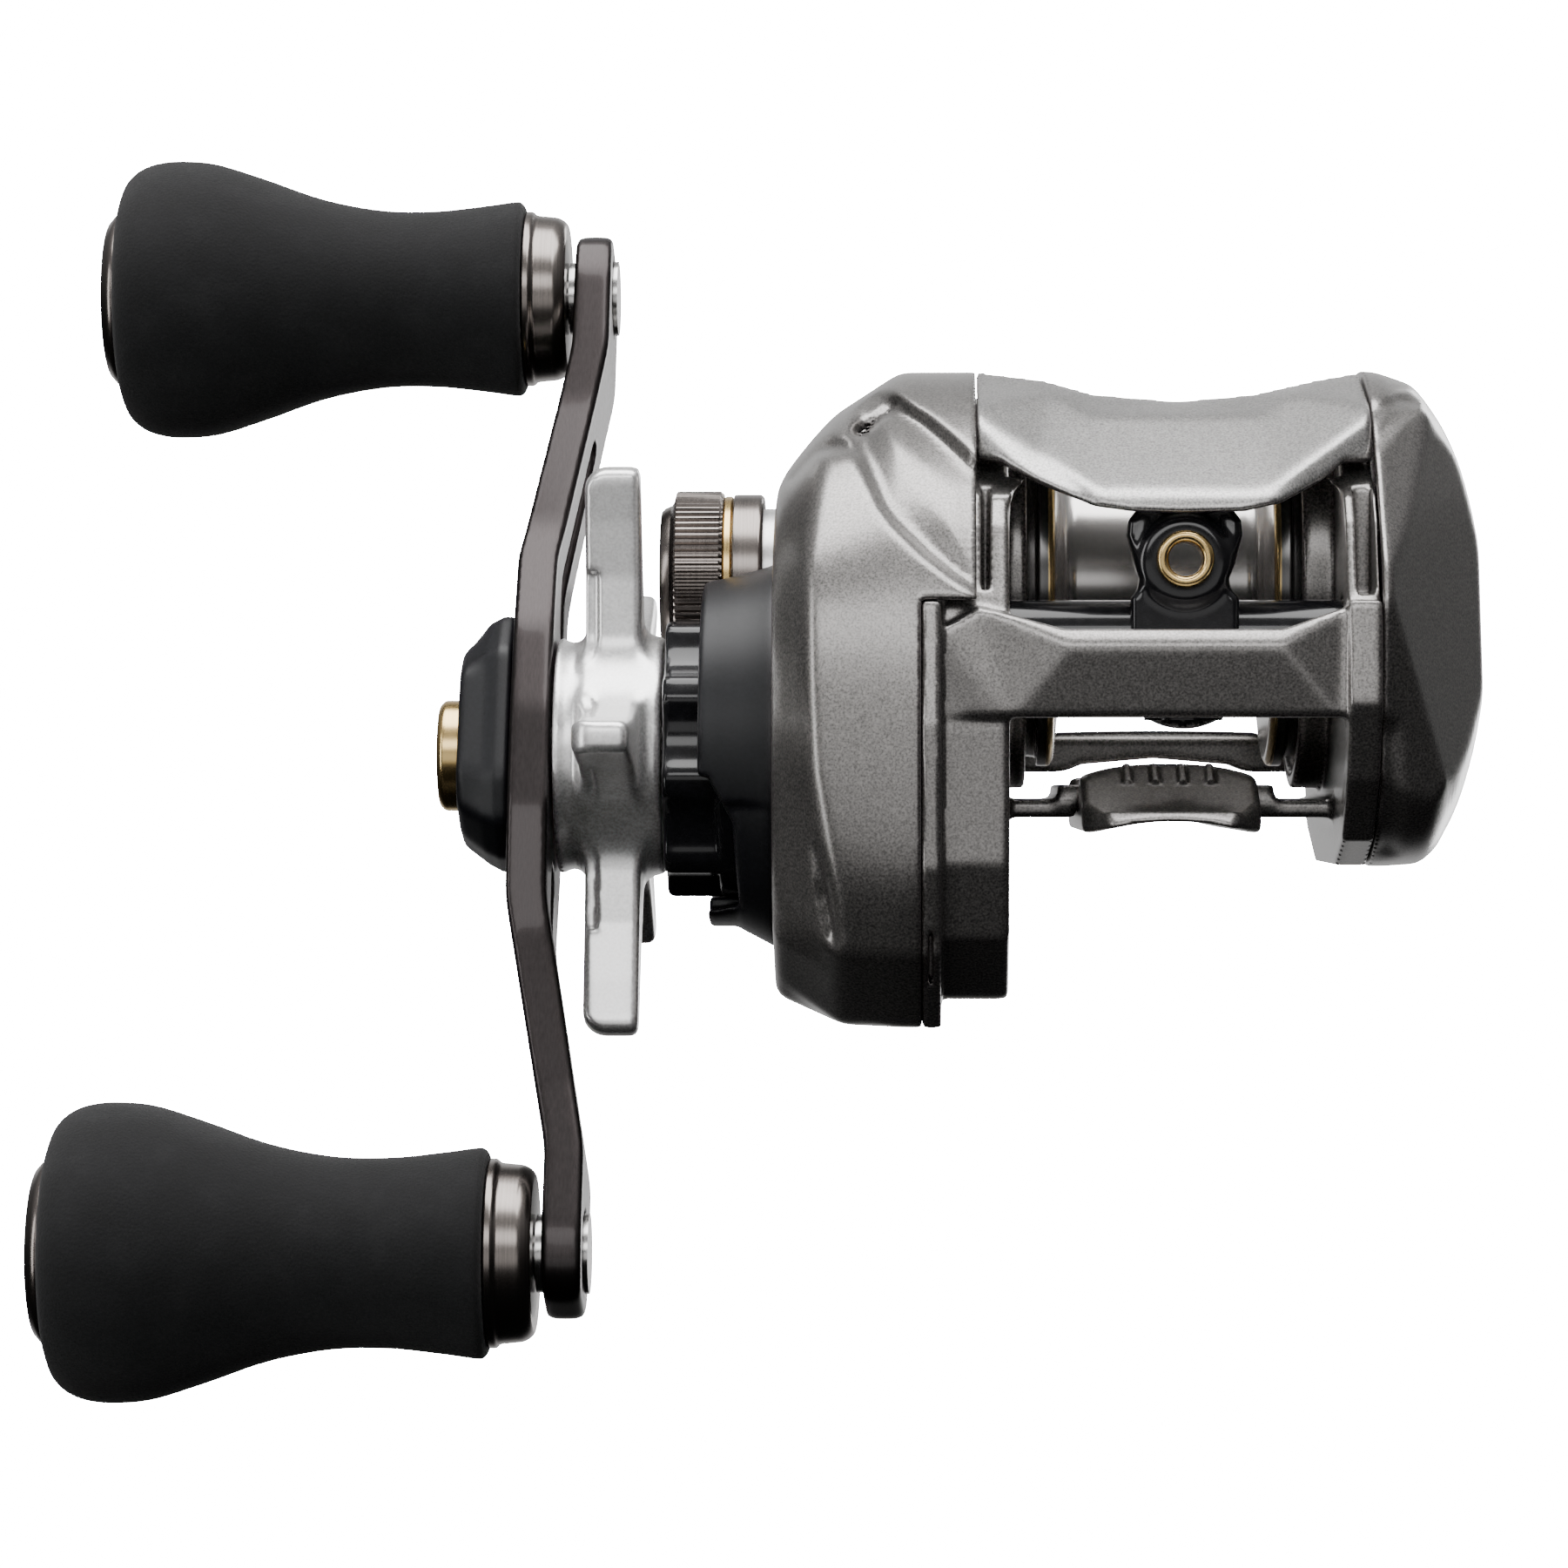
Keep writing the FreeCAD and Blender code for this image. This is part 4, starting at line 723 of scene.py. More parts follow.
def palm_cover():
    space = Space((16.9, -33, -4.5), (29.6, 33, 43), 0.35)
    side, shoulder, outer = (space.side(eased(p)) for p in (PALM_SIDE, PALM_SHOULDER, PALM_OUTER))
    hull = morph(space, [
        (16.9, side), (19, side), (22.5, 0.55 * side + 0.45 * shoulder),
        (24.9, 0.8 * shoulder + 0.2 * outer + 0.7), (26.4, 0.3 * shoulder + 0.7 * outer + 0.9),
        (27.9, outer + 4.5), (29.6, outer + 9),
    ])
    hull = space.soften(hull, 0.5)
    hull = both(hull, space.x - 27.9, 1.6)
    # the large front facet that starts at an apex near the top
    crease = [(24.8, 40), (23.4, 36.4), (20.6, 32.6), (20, 28.1), (19.5, 25), (18.9, 22.2), (19.2, 19.6),
              (20.2, 17.3), (21.3, 14), (22.7, 9), (23.6, 4.2), (24.2, -4)]
    beyond = polyline_side(space.x, space.z, crease)
    hollow = np.interp(beyond, [-0.3, 0, 0.8, 1.6, 4], [0, 0.1, 0.6, 0.5, 0])
    lower = np.clip((space.z - 38) / -4, 0, 1)
    hull = hull + hollow.astype(np.float32) * lower * np.clip((-6 - space.y) / 5, 0, 1)
    upper = 0.863 * (space.x - 19.2) - 0.434 * (space.y + 29) + 0.26 * (space.z - 23.5)
    under = 0.895 * (space.x - 18.5) - 0.425 * (space.y + 30.5) + 0.13 * (space.z - 21)
    foot_side = 0.507 * (space.x - 17.7) - 0.848 * (space.y + 31.3) - 0.153 * (space.z - 19)
    brow_side = 0.586 * (space.x - 17.7) - 0.610 * (space.y + 28.9) + 0.535 * (space.z - 25)
    hull = every([hull, upper, under, foot_side, brow_side], 0.3)
    # the darker facet at the seam's foot, and the one under the top
    foot = [(17, 10.2), (19.4, 9.6), (19.9, 4.4), (20.4, -2), (17, -3.2)]
    lean = np.interp(-space.front(foot), [-0.3, 0, 1.4], [0, 0.05, 0.7])
    brow = [
        (17, 37.9), (18.3, 37.7), (20.6, 38.7), (22.4, 38.8), (22.5, 37.4), (19.9, 35.3),
        (18.2, 33.3), (17, 33),
    ]
    lean = lean + np.interp(-space.front(brow), [-0.3, 0, 0.7], [0, 0.1, 0.55])
    hull = hull + lean.astype(np.float32) * np.clip((-3 - space.y) / 5, 0, 1)
    shell = space.soften(hull, 0.2)
    shell = without(shell, both(hull + 1.4, space.x - 26.4))
    disc = space.plug(SPOOL, 15.9, 18.1, 19.6)
    boss = space.plug(SPOOL, 5.6, 18.6, 27)
    spoke = space.box((18.1, 19.6), (-25.5, 27.5), (SPOOL[1] - 3, SPOOL[1] + 3))
    post = space.plug(DIAL, 1.4, 19, 25.6)
    lock = middle("cover_lock_screw")
    lock_boss = every([space.rod(lock, 2.8), space.along(17.7, 26.5), hull + 0.3])
    rib = space.box((18.1, 19.6), (lock[0] - 2, lock[0] + 2), (-1.8, 8))
    shell = any_of([shell, disc, boss, spoke, rib, post, lock_boss], 0.2)
    shell = both(shell, 17.72 - space.x, 0.12)
    for cut in (
        space.plug(SPOOL, 4.02, 10, 22.2),
        space.plug(SPOOL, 2.2, 10, 23.4),
        space.plug(lock, 1.65, 10, 32),
        space.plug(lock, 2.55, 19.9, 32),
        every([space.rod(DIAL, 6.85), -space.rod(DIAL, 1.4), space.along(20.9, 24.3)]),
    ):
        shell = without(shell, cut, 0.1)
    carve("palm_side_cover_shell", space, shell, "body_paint", "palm_cover", ["palm_side_cover"])


# Level wind hood.


def hood():
    space = Space((-17.2, -30.5, 25.5), (18.3, -2.5, 43), 0.3)
    corners = {
        "v0": (-17.5, 42, -2), "v1": (-10.8, 41.2, -2), "v2": (-6.3, 39.8, -2), "v3": (1.1, 39, -2),
        "v4": (8.6, 39.8, -2), "v5": (13.8, 41, -2), "v6": (18.4, 42, -2), "t0": (-17.5, 41.2, -4.2),
        "t1": (-10.8, 40.6, -6), "t2": (-6.3, 39.2, -8), "t3": (1.1, 38.4, -8.8), "t4": (8.6, 39.2, -8),
        "t5": (13.8, 40.4, -6), "t6": (18.4, 41.2, -4.2), "u0": (-17.5, 37.5, -16.6),
        "u1": (-10, 38.6, -11.8), "u5": (11.1, 38.6, -11.8), "u6": (18.4, 37.6, -16.4),
        "c1": (-6.8, 36.6, -15.4), "c2": (8.4, 36.6, -15.4), "m0": (-17.5, 36.8, -18.6),
        "m1": (-11.15, 32.8, -22), "m2": (-6.4, 29.3, -27.6), "m3": (7.4, 29.2, -27.6),
        "m4": (8.6, 29.7, -27.1), "m5": (18.4, 36.9, -18.4), "l0": (-17.5, 31.8, -20.6),
        "l1": (-11.45, 30.3, -24.6), "l2": (-6.4, 27.7, -28.3), "l3": (7.3, 27.4, -28.3),
        "l4": (9.2, 28, -27.9), "l5": (13, 30.3, -24.2), "l6": (18.4, 31.6, -20.4),
        "b0": (-17.5, 25, -20.6), "b2": (-6.4, 25, -28.3), "b3": (7.3, 25, -28.3),
        "b6": (18.4, 25, -20.4),
    }
    facets = """
        v0 v1 t1, v0 t1 t0, v1 v2 t2, v1 t2 t1, v2 v3 t3, v2 t3 t2, v3 v4 t4, v3 t4 t3, v4 v5 t5,
        v4 t5 t4, v5 v6 t6, v5 t6 t5, t0 t1 u1, t0 u1 u0, u0 u1 m0, u1 t1 t2, u1 t2 c1, u1 c1 m1,
        u1 m1 m0, t2 t3 c1, t3 c2 c1, t3 t4 c2, c1 m2 m1, c1 m3 m2, c1 c2 m3, c2 m4 m3, t4 u5 c2,
        c2 u5 m4, t4 t5 u5, u5 t5 t6, u5 t6 u6, u5 u6 m5, u5 m5 m4, m0 m1 l1, m0 l1 l0, m1 m2 l2,
        m1 l2 l1, m2 m3 l3, m2 l3 l2, m3 m4 l4, m3 l4 l3, m4 m5 l5, m4 l5 l4, m5 l6 l5, l0 l1 b0,
        l1 l2 b0, l2 b2 b0, l2 l3 b3, l2 b3 b2, l3 l4 b3, l4 l5 b3, l5 b6 b3, l5 l6 b6
    """
    face = relief(space, corners, facets)
    face = np.where(np.isnan(face), 0.0, face)
    outer = space.soften(space.full(face - space.y) * 0.68, 0.4)
    # the underside follows the CAD shell, and the lip is cut to its line
    left, right = -16.6, 17.6
    lip = polygon(space.x, space.z, [
        (-18, 32.45), (-16.6, 32.45), (-14.7, 32.2), (-11.3, 30.25), (-6.7, 28), (-3.4, 27.55), (0.7, 27.4),
        (6.2, 27.55), (9.2, 28.25), (13, 30.4), (15, 32.1), (19, 32.2), (19, 45), (-18, 45),
    ])
    outer = both(outer, space.full(lip), 0.4)
    under_seam = space.side([(-18.5, 32), (-18.5, 34), (-9.5, 38.3), (-2, 39.5), (-2, 20), (-18.5, 20)])
    under_mid = space.side([(-26.6, 20), (-26.6, 28.9), (-15.8, 34.9), (-8.6, 37.1), (-2, 37.6), (-2, 20)])
    stations = [left, left + 10, right - 10, right]
    under = morph(space, list(zip(stations, (under_seam, under_mid, under_mid, under_seam))))
    body = without(outer, under, 0.3)
    rear = np.interp(space.x, stations, [-4, -8.3, -8.3, -4])
    body = every([body, space.along(left, right), space.y - rear, -28.4 - space.y], 0.15)
    for place in HOOD_SCREWS:
        body = without(body, both(space.upright(place, 0.92), space.z - 35.3))
    carve("level_wind_hood_shell", space, body, "hood_paint", "frame", ["level_wind_hood"])


gear_cover()
palm_cover()
hood()

# The frame.


def frame_casting():
    space = Space((-22.2, -34, -18), (18.4, 32, 42.5), 0.4)
    idler = middle("idler_gear")
    gear_line, palm_line = space.side(GEAR_SIDE), space.side(PALM_SIDE)
    below = space.z - 19.8
    flange = every([gear_line, below, space.along(-21.4, -19.75)], 0.25)
    plate = every([gear_line + 1.8, space.along(-21.4, -19.8)], 0.1)
    wall = every([gear_line + 2.2, space.along(-19.9, -13.9), -14.6 - space.z], 0.7)
    ring = every([palm_line + 1.8, space.along(14.8, 17.6)], 0.3)
    ring_low = every([palm_line, below, space.along(14.8, 17.6)], 0.25)
    mid = every([space.plan([(-9.5, -13), (9.5, -13), (9.5, 22), (-9.5, 22)]), span(space.z, 2.45, 4.2)], 0.3)
    wings = [space.box(across, (-13, 22), (1.3, 2.9), 0.4) for across in ((-14.9, -7.9), (7.9, 15.8))]
    bridge = [(23, 5.4), (27.6, 5.4), (27.6, 8.4), (26.6, 9.3), (23.8, 9.3), (23, 8.4)]
    arch = [
        (-14.9, 4.6), (-10, 4.6), (-6.5, 6.1), (0.4, 6.7), (7.4, 6.1), (11, 4.6), (15.8, 4.6),
        (15.8, 7.9), (11.9, 8), (9.9, 9.2), (0.4, 9.6), (-9, 9.2), (-11, 8), (-14.9, 7.9),
    ]
    rear = every([space.side(bridge), space.front(arch)], 0.35)
    posts = [space.plug(p, 0.95, -26.3, -21) for p in ((13.66, 19.1), (-2.66, 26.7))]
    body = any_of([flange, plate, wall, ring, ring_low], 0.25)
    body = any_of([body, mid, rear] + wings, 0.8)
    cuts = [
        space.plug(SPOOL, 17.5, -14.25, -12),
        space.plug(SPOOL, 17.4, 13.8, 19),
        space.plug(SPOOL, 3.5, -23, -12),
        space.plug(DRIVE, 5.2, -23, -19.7),
        space.plug(DRIVE, 10.2, -19.9, -16.9),
        space.plug(DRIVE, 5, -17.1, -14.6),
        space.plug(idler, 6.1, -19.9, -16.9),
        space.plug(WORM, 5.7, -19.9, -16.9),
        space.plug(WORM, 3.2, -17.1, -12),
        space.plug(WORM, 3.2, 13.8, 16.7),
        space.box((-23, -12.9), (21.4, 27.6), (9.3, 18.2)),
    ]
    for cut in cuts:
        body = without(body, cut, 0.15)
    # the crossbar, faceted in front
    corners = {
        "a": (-21.6, 18.4, -30.9), "b": (-16.6, 19.4, -30.6), "c": (-9, 17.5, -31.4),
        "d": (9.2, 17.5, -31.4), "e": (15.2, 19.6, -30.5), "f": (18.6, 18.4, -30.7),
        "g": (-8.7, 16.1, -32.4), "h": (8.9, 16.1, -32.4), "i": (-13.8, 9.7, -31), "j": (14.1, 9.7, -31),
        "k": (-19.9, 17.2, -30.9), "l": (-21.6, 9.7, -29.9), "m": (18.6, 9.7, -29.9),
        "n": (-16.6, 23, -30.6), "o": (15.2, 23, -30.5), "p": (-21.6, 23, -30.9), "q": (18.6, 23, -30.7),
        "r": (-21.6, 8.5, -29.9), "s": (18.6, 8.5, -29.9),
    }
    facets = """
        g h j, g j i, c d h, c h g, b c g, b g i, b i k, k i l, a b k, a k l, d e h, e j h, e f j,
        f m j, b n c, c n o, c o d, d o e, a p n, a n b, e o q, e q f, l i r, i j s, i s r, j m s
    """
    face = relief(space, corners, facets)
    face = np.where(np.isnan(face), -30.0, face)
    front = space.soften(space.full(face - space.y), 0.3)
    outline = [
        (-19.75, 9.9), (-19.75, 17.4), (-16.6, 19.3), (-14.4, 18.8), (-9.3, 17.4), (9.3, 17.4), (14.4, 19.2),
        (15.6, 19.6), (17.6, 18.4), (17.6, 9.9),
    ]
    bar = every([front, space.front(outline), space.y + 27.4], 0.45)
    body = either(body, bar, 0.5)
    body = without(body, space.plug(WORM, 3.2, -17.1, -12))
    for place in COVER_SCREWS:
        body = without(body, space.plug(place, 0.85, -23, -18))
    for place in FOOT_SCREWS:
        body = without(body, space.pin(place, 1.25, 1, 5))
        body = without(body, space.pin(place, 2.25, 3.3, 5.3), 0.1)
    # room for the hood, and its two screw bosses
    seat = space.side([(-30, 27), (-28.6, 27), (-20.4, 35.1), (-9.2, 40.3), (-3.9, 41.2), (-3.9, 39.2),
                       (-9.5, 38.1), (-17.8, 34), (-17.8, 32.2), (-21, 30)])
    body = without(body, both(seat, space.along(-16.8, 17.9)))
    for place in HOOD_SCREWS:
        body = without(body, space.pin(place, 0.85, 28.9, 40))
    # the lips round the spool's flanges, and the window's posts
    near_spool = both(space.rod(SPOOL, 19), -space.rod(SPOOL, 17.55))
    lips = [
        every([near_spool, space.along(-14.6, -12.2), gear_line + 2.4], 0.2),
        every([near_spool, space.along(12, 15.2), palm_line + 2], 0.2),
    ]
    left_post = space.front([
        (-17.2, 32.3), (-17.2, 19.5), (-14.9, 19.5), (-14.7, 22.9), (-13.9, 23.3), (-13.8, 28.4),
        (-13.4, 29.7), (-12, 31), (-9.5, 31.8), (-9.5, 34), (-17.2, 34),
    ])
    right_post = space.front([
        (17.7, 32.3), (17.7, 19.5), (15.6, 19.5), (15.4, 22.9), (15.2, 23.3), (15, 28.6), (14.6, 29.8),
        (13.3, 30.9), (10.8, 31.6), (10.8, 34), (17.7, 34),
    ])
    left_slot = space.front([(-16.2, 20.6), (-15.7, 20.6), (-15.5, 31), (-16.2, 31.4)])
    right_slot = space.front([(16.2, 20.6), (17, 20.6), (17, 31.4), (16.1, 31)])
    front_posts = [
        every([without(post, slot, 0.1), span(space.y, -23.6, -19.5), gear_line + 1.9], 0.25)
        for post, slot in ((left_post, left_slot), (right_post, right_slot))
    ]
    body = any_of([body] + lips + front_posts, 0.15)
    body = without(body, both(seat, space.along(-16.8, 17.9)))
    # the slots run on through the flanges
    for slot in ([(-16.3, 20.8), (-15.6, 20.8), (-15.5, 31.2), (-16.3, 31.6)],
                 [(15.7, 20.4), (17.3, 20.4), (17.3, 32), (15.7, 31.4)]):
        body = without(body, both(space.full(space.front(slot)), space.y + 21), 0.1)
    # the drain slot
    body = without(body, every([space.along(-20.9, -20.4), span(space.z, -12.8, -8.4), space.y + 20]), 0.25)
    body = any_of([body] + posts)
    body = either(body, space.plug(idler, 1.2, -19.6, -16.5))
    body = without(body, space.plug(middle("cover_lock_screw"), 1.6, 15.3, 19))
    carve("frame_casting", space, body, "body_paint", "frame", ["frame"])


frame_casting()


def foot():
    space = Space((-8.6, -31, -1), (8.6, 31, 7.2), 0.3)
    outline = [
        (-30, 0), (-30, 0.5), (-28.7, 2), (-27.7, 1.7), (-15.6, 6.2), (-13.1, 6.2), (-13.1, 2.4),
        (22.1, 2.4), (22.1, 4.9), (24.4, 4.9), (28, 1.6), (30, 1.1), (30, 0),
    ]
    land, rise = 6.7, 1.05
    radius = (land ** 2 + rise ** 2) / (2 * rise)
    crown = np.hypot(space.x, space.z - 6.2 + 24) - 24.0
    saddle = np.hypot(space.x, space.z - rise + radius) - radius
    plan = space.plan([
        (-7.7, -25), (-5.1, -30), (5.1, -30), (7.7, -25), (7.7, 25), (5.1, 30), (-5.1, 30), (-7.7, 25),
    ])
    body = every([space.side(outline), plan, crown], 0.7)
    body = without(body, saddle, 0.4)
    for x in (-3.6, -1.2, 1.2, 3.6):
        ridge = np.hypot(space.x - x, (space.z - 1.6 - (space.y + 28) * 0.371) * 0.93) - 0.42
        body = either(body, every([ridge, span(space.y, -21, -16.6)], 0.3), 0.25)
    for place in FOOT_SCREWS:
        body = without(body, space.pin(place, 1, 1, 9))
    carve("reel_foot_casting", space, body, "body_paint", "frame", ["reel_foot"])


foot()

# Handle.

KNOB_REACH = 48


def handle_arm():
    space = Space((-59.2, -10.5, -55), (-48.8, 10.5, 55), 0.3)
    edge = 53.9
    outline = [
        (-58.1, -17), (-58.1, 17), (-54, 40), (-54, edge), (-50.5, edge), (-50.5, 40), (-54.4, 17),
        (-54.4, -17), (-50.5, -40), (-50.5, -edge), (-54, -edge), (-54, -40),
    ]
    strap = space.soften(space.front(outline), 0.9)
    plan = [(9.5, 0), (9, 9), (6.4, 20), (5.6, 34), (5.9, 48), (5, 51.3), (3, 53.2)]
    right = plan + [(-y, z) for y, z in reversed(plan)]
    ring = right + [(-y, -z) for y, z in right[1:-1]]
    blank = space.soften(space.side(ring), 0.8)
    arm = both(strap, blank, 0.7)
    arm = without(arm, space.rod((0, 0), 3.55), 0.1)
    for end in (-1, 1):
        knob_axis = (0, end * KNOB_REACH)
        arm = without(arm, space.rod(knob_axis, 2.02), 0.1)
        seat = space.plug(knob_axis, 3.75, -51, -50)
        arm = without(arm, seat, 0.1)
        near, far = end * 13, end * 31
        slot = space.side([(-1.8, near), (1.8, near), (1.3, far), (-1.3, far)])
        slot = any_of([slot, space.rod((0, near), 1.8), space.rod((0, far), 1.3)])
        arm = without(arm, slot, 0.5)
    carve("handle_arm_forging", space, arm, "arm_gunmetal", "handle", ["handle_arm"], swing())


handle_arm()


FIRST_ARM = 176.7


def star_drag():
    space = Space((-55.2, DRIVE[0] - 29, DRIVE[1] - 29), (-43.8, DRIVE[0] + 29, DRIVE[1] + 29), 0.35)
    y, z = space.y - DRIVE[0], space.z - DRIVE[1]
    hub = space.plug(DRIVE, 10.75, -54.2, -44.6, 0.6)
    waist = np.abs(space.x + 52.6)
    hub = hub + np.clip(1 - (waist / 1.3) ** 2, 0, 1) * 0.55
    tip = 26.5
    body = hub
    for arm in range(5):
        turn = math.radians(FIRST_ARM - 72 * arm)
        out = y * math.cos(turn) + z * math.sin(turn)
        across = -y * math.sin(turn) + z * math.cos(turn)
        half = np.interp(out, [8, 12, 17, 22, tip], [5.2, 3.6, 2.35, 1.75, 1.35]).astype(np.float32)
        thick = space.along(-51.5, -46.5)
        slant = out - tip - (space.x + 51.5) * 0.9 + 1.0
        blade = every([np.abs(across) - half, out - tip, 6 - out], 0.9)
        blade = every([blade, thick, slant], 0.9)
        side_groove = every([space.x + 50.3, span(out, 9, 17.4), -(np.abs(across) - half + 0.55)], 0.3)
        blade = without(blade, side_groove, 0.3)
        body = either(body, blade, 1.6)
    body = without(body, space.rod(DRIVE, 3.56), 0.1)
    body = without(body, both(space.rod(DRIVE, 5.6), -(space.x + 45)), 0.1)
    carve("star_drag_casting", space, body, "bright_silver", "star_drag", ["star_drag"])


star_drag()


def retainer():
    space = Space((-64, -9, -11.6), (-57.6, 9, 14.6), 0.22)
    dome = [(13.3, 0), (12, 4.6), (7, 7.6), (-5.6, 7.6), (-9.3, 5.5), (-10.3, 0)]
    crown = [(9.4, 0), (8.4, 4), (5.2, 6.3), (-4.6, 6.3), (-7, 4.4), (-7.6, 0)]
    rings = [half + [(z, -y) for z, y in half[-2:0:-1]] for half in (dome, crown)]
    base, top = (space.soften(polygon(space.z, space.y, ring), 0.5)[:1] for ring in rings)
    shell = morph(space, [(-63, top), (-60.6, base + 0.7), (-59.4, base + 0.1), (-58.2, base)])
    shell = every([shell, space.along(-63, -58.2)], 0.7)
    shell = without(shell, space.rod((0, 0), 5.2), 0.25)
    shell = without(shell, both(space.rod((0, 0), 6.2), -59.3 - space.x), 0.1)
    shell = without(shell, space.rod(RETAINER_SCREW, 0.95))
    shell = without(shell, both(space.rod(RETAINER_SCREW, 1.75), space.x + 60.2), 0.15)
    carve("nut_retainer_moulding", space, shell, "matt_black", "handle", ["nut_retainer"], swing())


retainer()

# Knobs, caps and other turned pieces.


def knob(which):
    body = which + "_knob"
    centre = middle(which + "_knob_grip")
    outer = [
        (-96.6, 10), (-96.1, 11.2), (-95, 12.2), (-93.4, 12.8), (-91.2, 13), (-87.9, 12.7), (-83.4, 11.3),
        (-77.9, 9.4), (-72.4, 8.35), (-67.4, 8.25), (-62.9, 8.7), (-59.9, 9.1), (-59.2, 9), (-58.9, 8.6),
    ]
    profile = [(-96.6, 7.12)] + curved(outer, 6) + [(-58.9, 7.12)]
    grip = lathe(which + "_grip_foam", profile, centre, "foam", body, [which + "_knob_grip"], 120, sharp=50)
    core = rounded([
        (-98.1, 6.6), (-98.1, 7.2), (-97.3, 8.1), (-96.65, 8.3), (-96.65, 7.1), (-58.85, 7.1), (-58.85, 8.2),
        (-58.1, 8.2), (-57.8, 7.85), (-55.8, 7.65), (-55.2, 7.35), (-54.8, 6.9), (-54.8, 2.3), (-55.5, 2.3),
        (-55.5, 4), (-96, 4), (-96, 6.6),
    ], 0.3)
    lathe(which + "_core_turning", core, centre, "gunmetal", body, [which + "_knob_core"], 96)
    cap = [(-98.4, 0), (-98.33, 3.5), (-97.95, 6.1), (-97.6, 6.52), (-96.1, 6.52), (-96.1, 0)]
    lathe(which + "_cap_moulding", rounded(cap, 0.3), centre, "gloss_black", body, [which + "_knob_cap"], 96)


knob("upper")
knob("lower")

RIBS = 76


def rib(along, radius, turn):
    if radius < 7.6 or not -44 < along < -39.7:
        return radius
    wave = math.cos(RIBS * turn)
    return radius - (0.32 if wave < -0.2 else 0 if wave > 0.2 else 0.16 - 0.8 * wave)


CAP = [
    (-45.3, 0), (-45.3, 6.3), (-45, 6.6), (-44.4, 6.85), (-44.15, 7.2), (-43.95, 8.05), (-43.8, 8.16),
    (-39.9, 8.16), (-39.6, 7.9), (-39.6, 6.68), (-43.3, 6.68), (-43.3, 0),
]
lathe("cast_control_cap_turning", CAP, SPOOL, "gunmetal", "cast_control", ["cast_control_cap"],
      segments=RIBS * 8, radius_at=rib, sharp=30)
BAND = [(-39.55, 6.7), (-39.55, 7.55), (-39.4, 7.7), (-38.9, 7.7), (-38.75, 7.55), (-38.75, 6.7)]
lathe("cast_control_band_turning", BAND, SPOOL, "gold", "cast_control", ["cast_control_band"])
COLLAR = rounded([(-38.7, 6.7), (-38.7, 7.86), (-36.2, 7.86), (-35.9, 7.6), (-35.9, 6.7)], 0.25)
lathe("cast_control_collar_turning", COLLAR, SPOOL, "gunmetal", "cast_control", ["cast_control_collar"])
NUT = rounded([
    (-65, 2.2), (-65, 4.5), (-64.5, 5), (-59.2, 5), (-59.2, 6), (-58.17, 6), (-58.17, 3.56),
    (-62.4, 3.56), (-62.4, 2.2),
], 0.28)
lathe("handle_nut_turning", NUT, DRIVE, "gold", "handle", ["handle_nut"])


def spool():
    half, rim, drum = 11.2, 17, 10.5
    one_side = [
        (half - 3.4, drum), (half - 2.6, drum + 0.35), (half - 2.1, drum + 1.2), (half - 1.6, rim - 0.6),
        (half - 1.25, rim), (half, rim), (half, rim - 0.8), (half + 1.9, rim - 1), (half + 1.9, rim - 1.9),
        (half - 0.9, rim - 1.9),
        (half - 1.4, drum - 1.2), (3, drum - 1.2), (1.2, drum - 2), (1.2, 3.6), (5, 3.6), (5, 2.02),
    ]
    profile = one_side + [(-x, r) for x, r in reversed(one_side)]
    lathe("spool_turning", rounded(profile, 0.3, 3), SPOOL, "spool_silver", "spool", ["spool"], 120)


spool()
EYELET_X, EYELET_Z = 1.15, 23.5
EYELET = [(-23, 1.5), (-23, 2.08), (-26.5, 2.08)] + [
    (-26.9 - 0.45 * math.sin(turn), 1.97 + 0.5 * math.cos(turn)) for turn in np.linspace(-0.5, math.pi, 14)]
lathe("line_eyelet_turning", EYELET, (EYELET_X, EYELET_Z), "gold", "line_guide", ["line_eyelet"],
      segments=72, axis="Y", sharp=50)


def line_guide():
    space = Space((EYELET_X - 5.6, -27.6, 9.6), (EYELET_X + 5.6, -17.6, 29), 0.18)
    x, z = EYELET_X, EYELET_Z
    head = [
        (-4, 28.1), (4, 28.1), (4.85, 26.9), (4.95, 25.6), (4.3, 23.4), (3.55, 21.9), (4, 20.9), (4.65, 20.2),
        (4.65, 10.4), (-4.65, 10.4), (-4.65, 20.2), (-4.1, 20.9), (-3.75, 21.9), (-4.4, 23.6), (-4.95, 25.6),
        (-4.85, 26.9),
    ]
    front = space.front([(x + a, b) for a, b in head])
    side = space.side([
        (-26.2, 10.4), (-25.9, 20.6), (-25.2, 28.1), (-22.6, 28.1), (-21.4, 20.8), (-18.2, 20), (-18.2, 10.4),
    ])
    body = both(space.full(front), side, 0.8)
    bulge = every([space.bore((x, z), 3.7), span(space.y, -26.35, -22)], 0.9)
    body = either(body, bulge, 1.2)
    body = without(body, space.rod(WORM, 3.22), 0.15)
    body = without(body, both(space.bore((x, z), 2.12), span(space.y, -28, -16)), 0.2)
    body = without(body, space.pin((x, WORM[0]), 1.5, 9, 14))
    window = every([span(space.x, x - 2.6, x + 2.6), span(space.z, 26.6, 30), span(space.y, -24.6, -20)], 0.5)
    body = without(body, window, 0.2)
    carve("line_guide_moulding", space, body, "gloss_black", "line_guide", ["line_guide"])


line_guide()


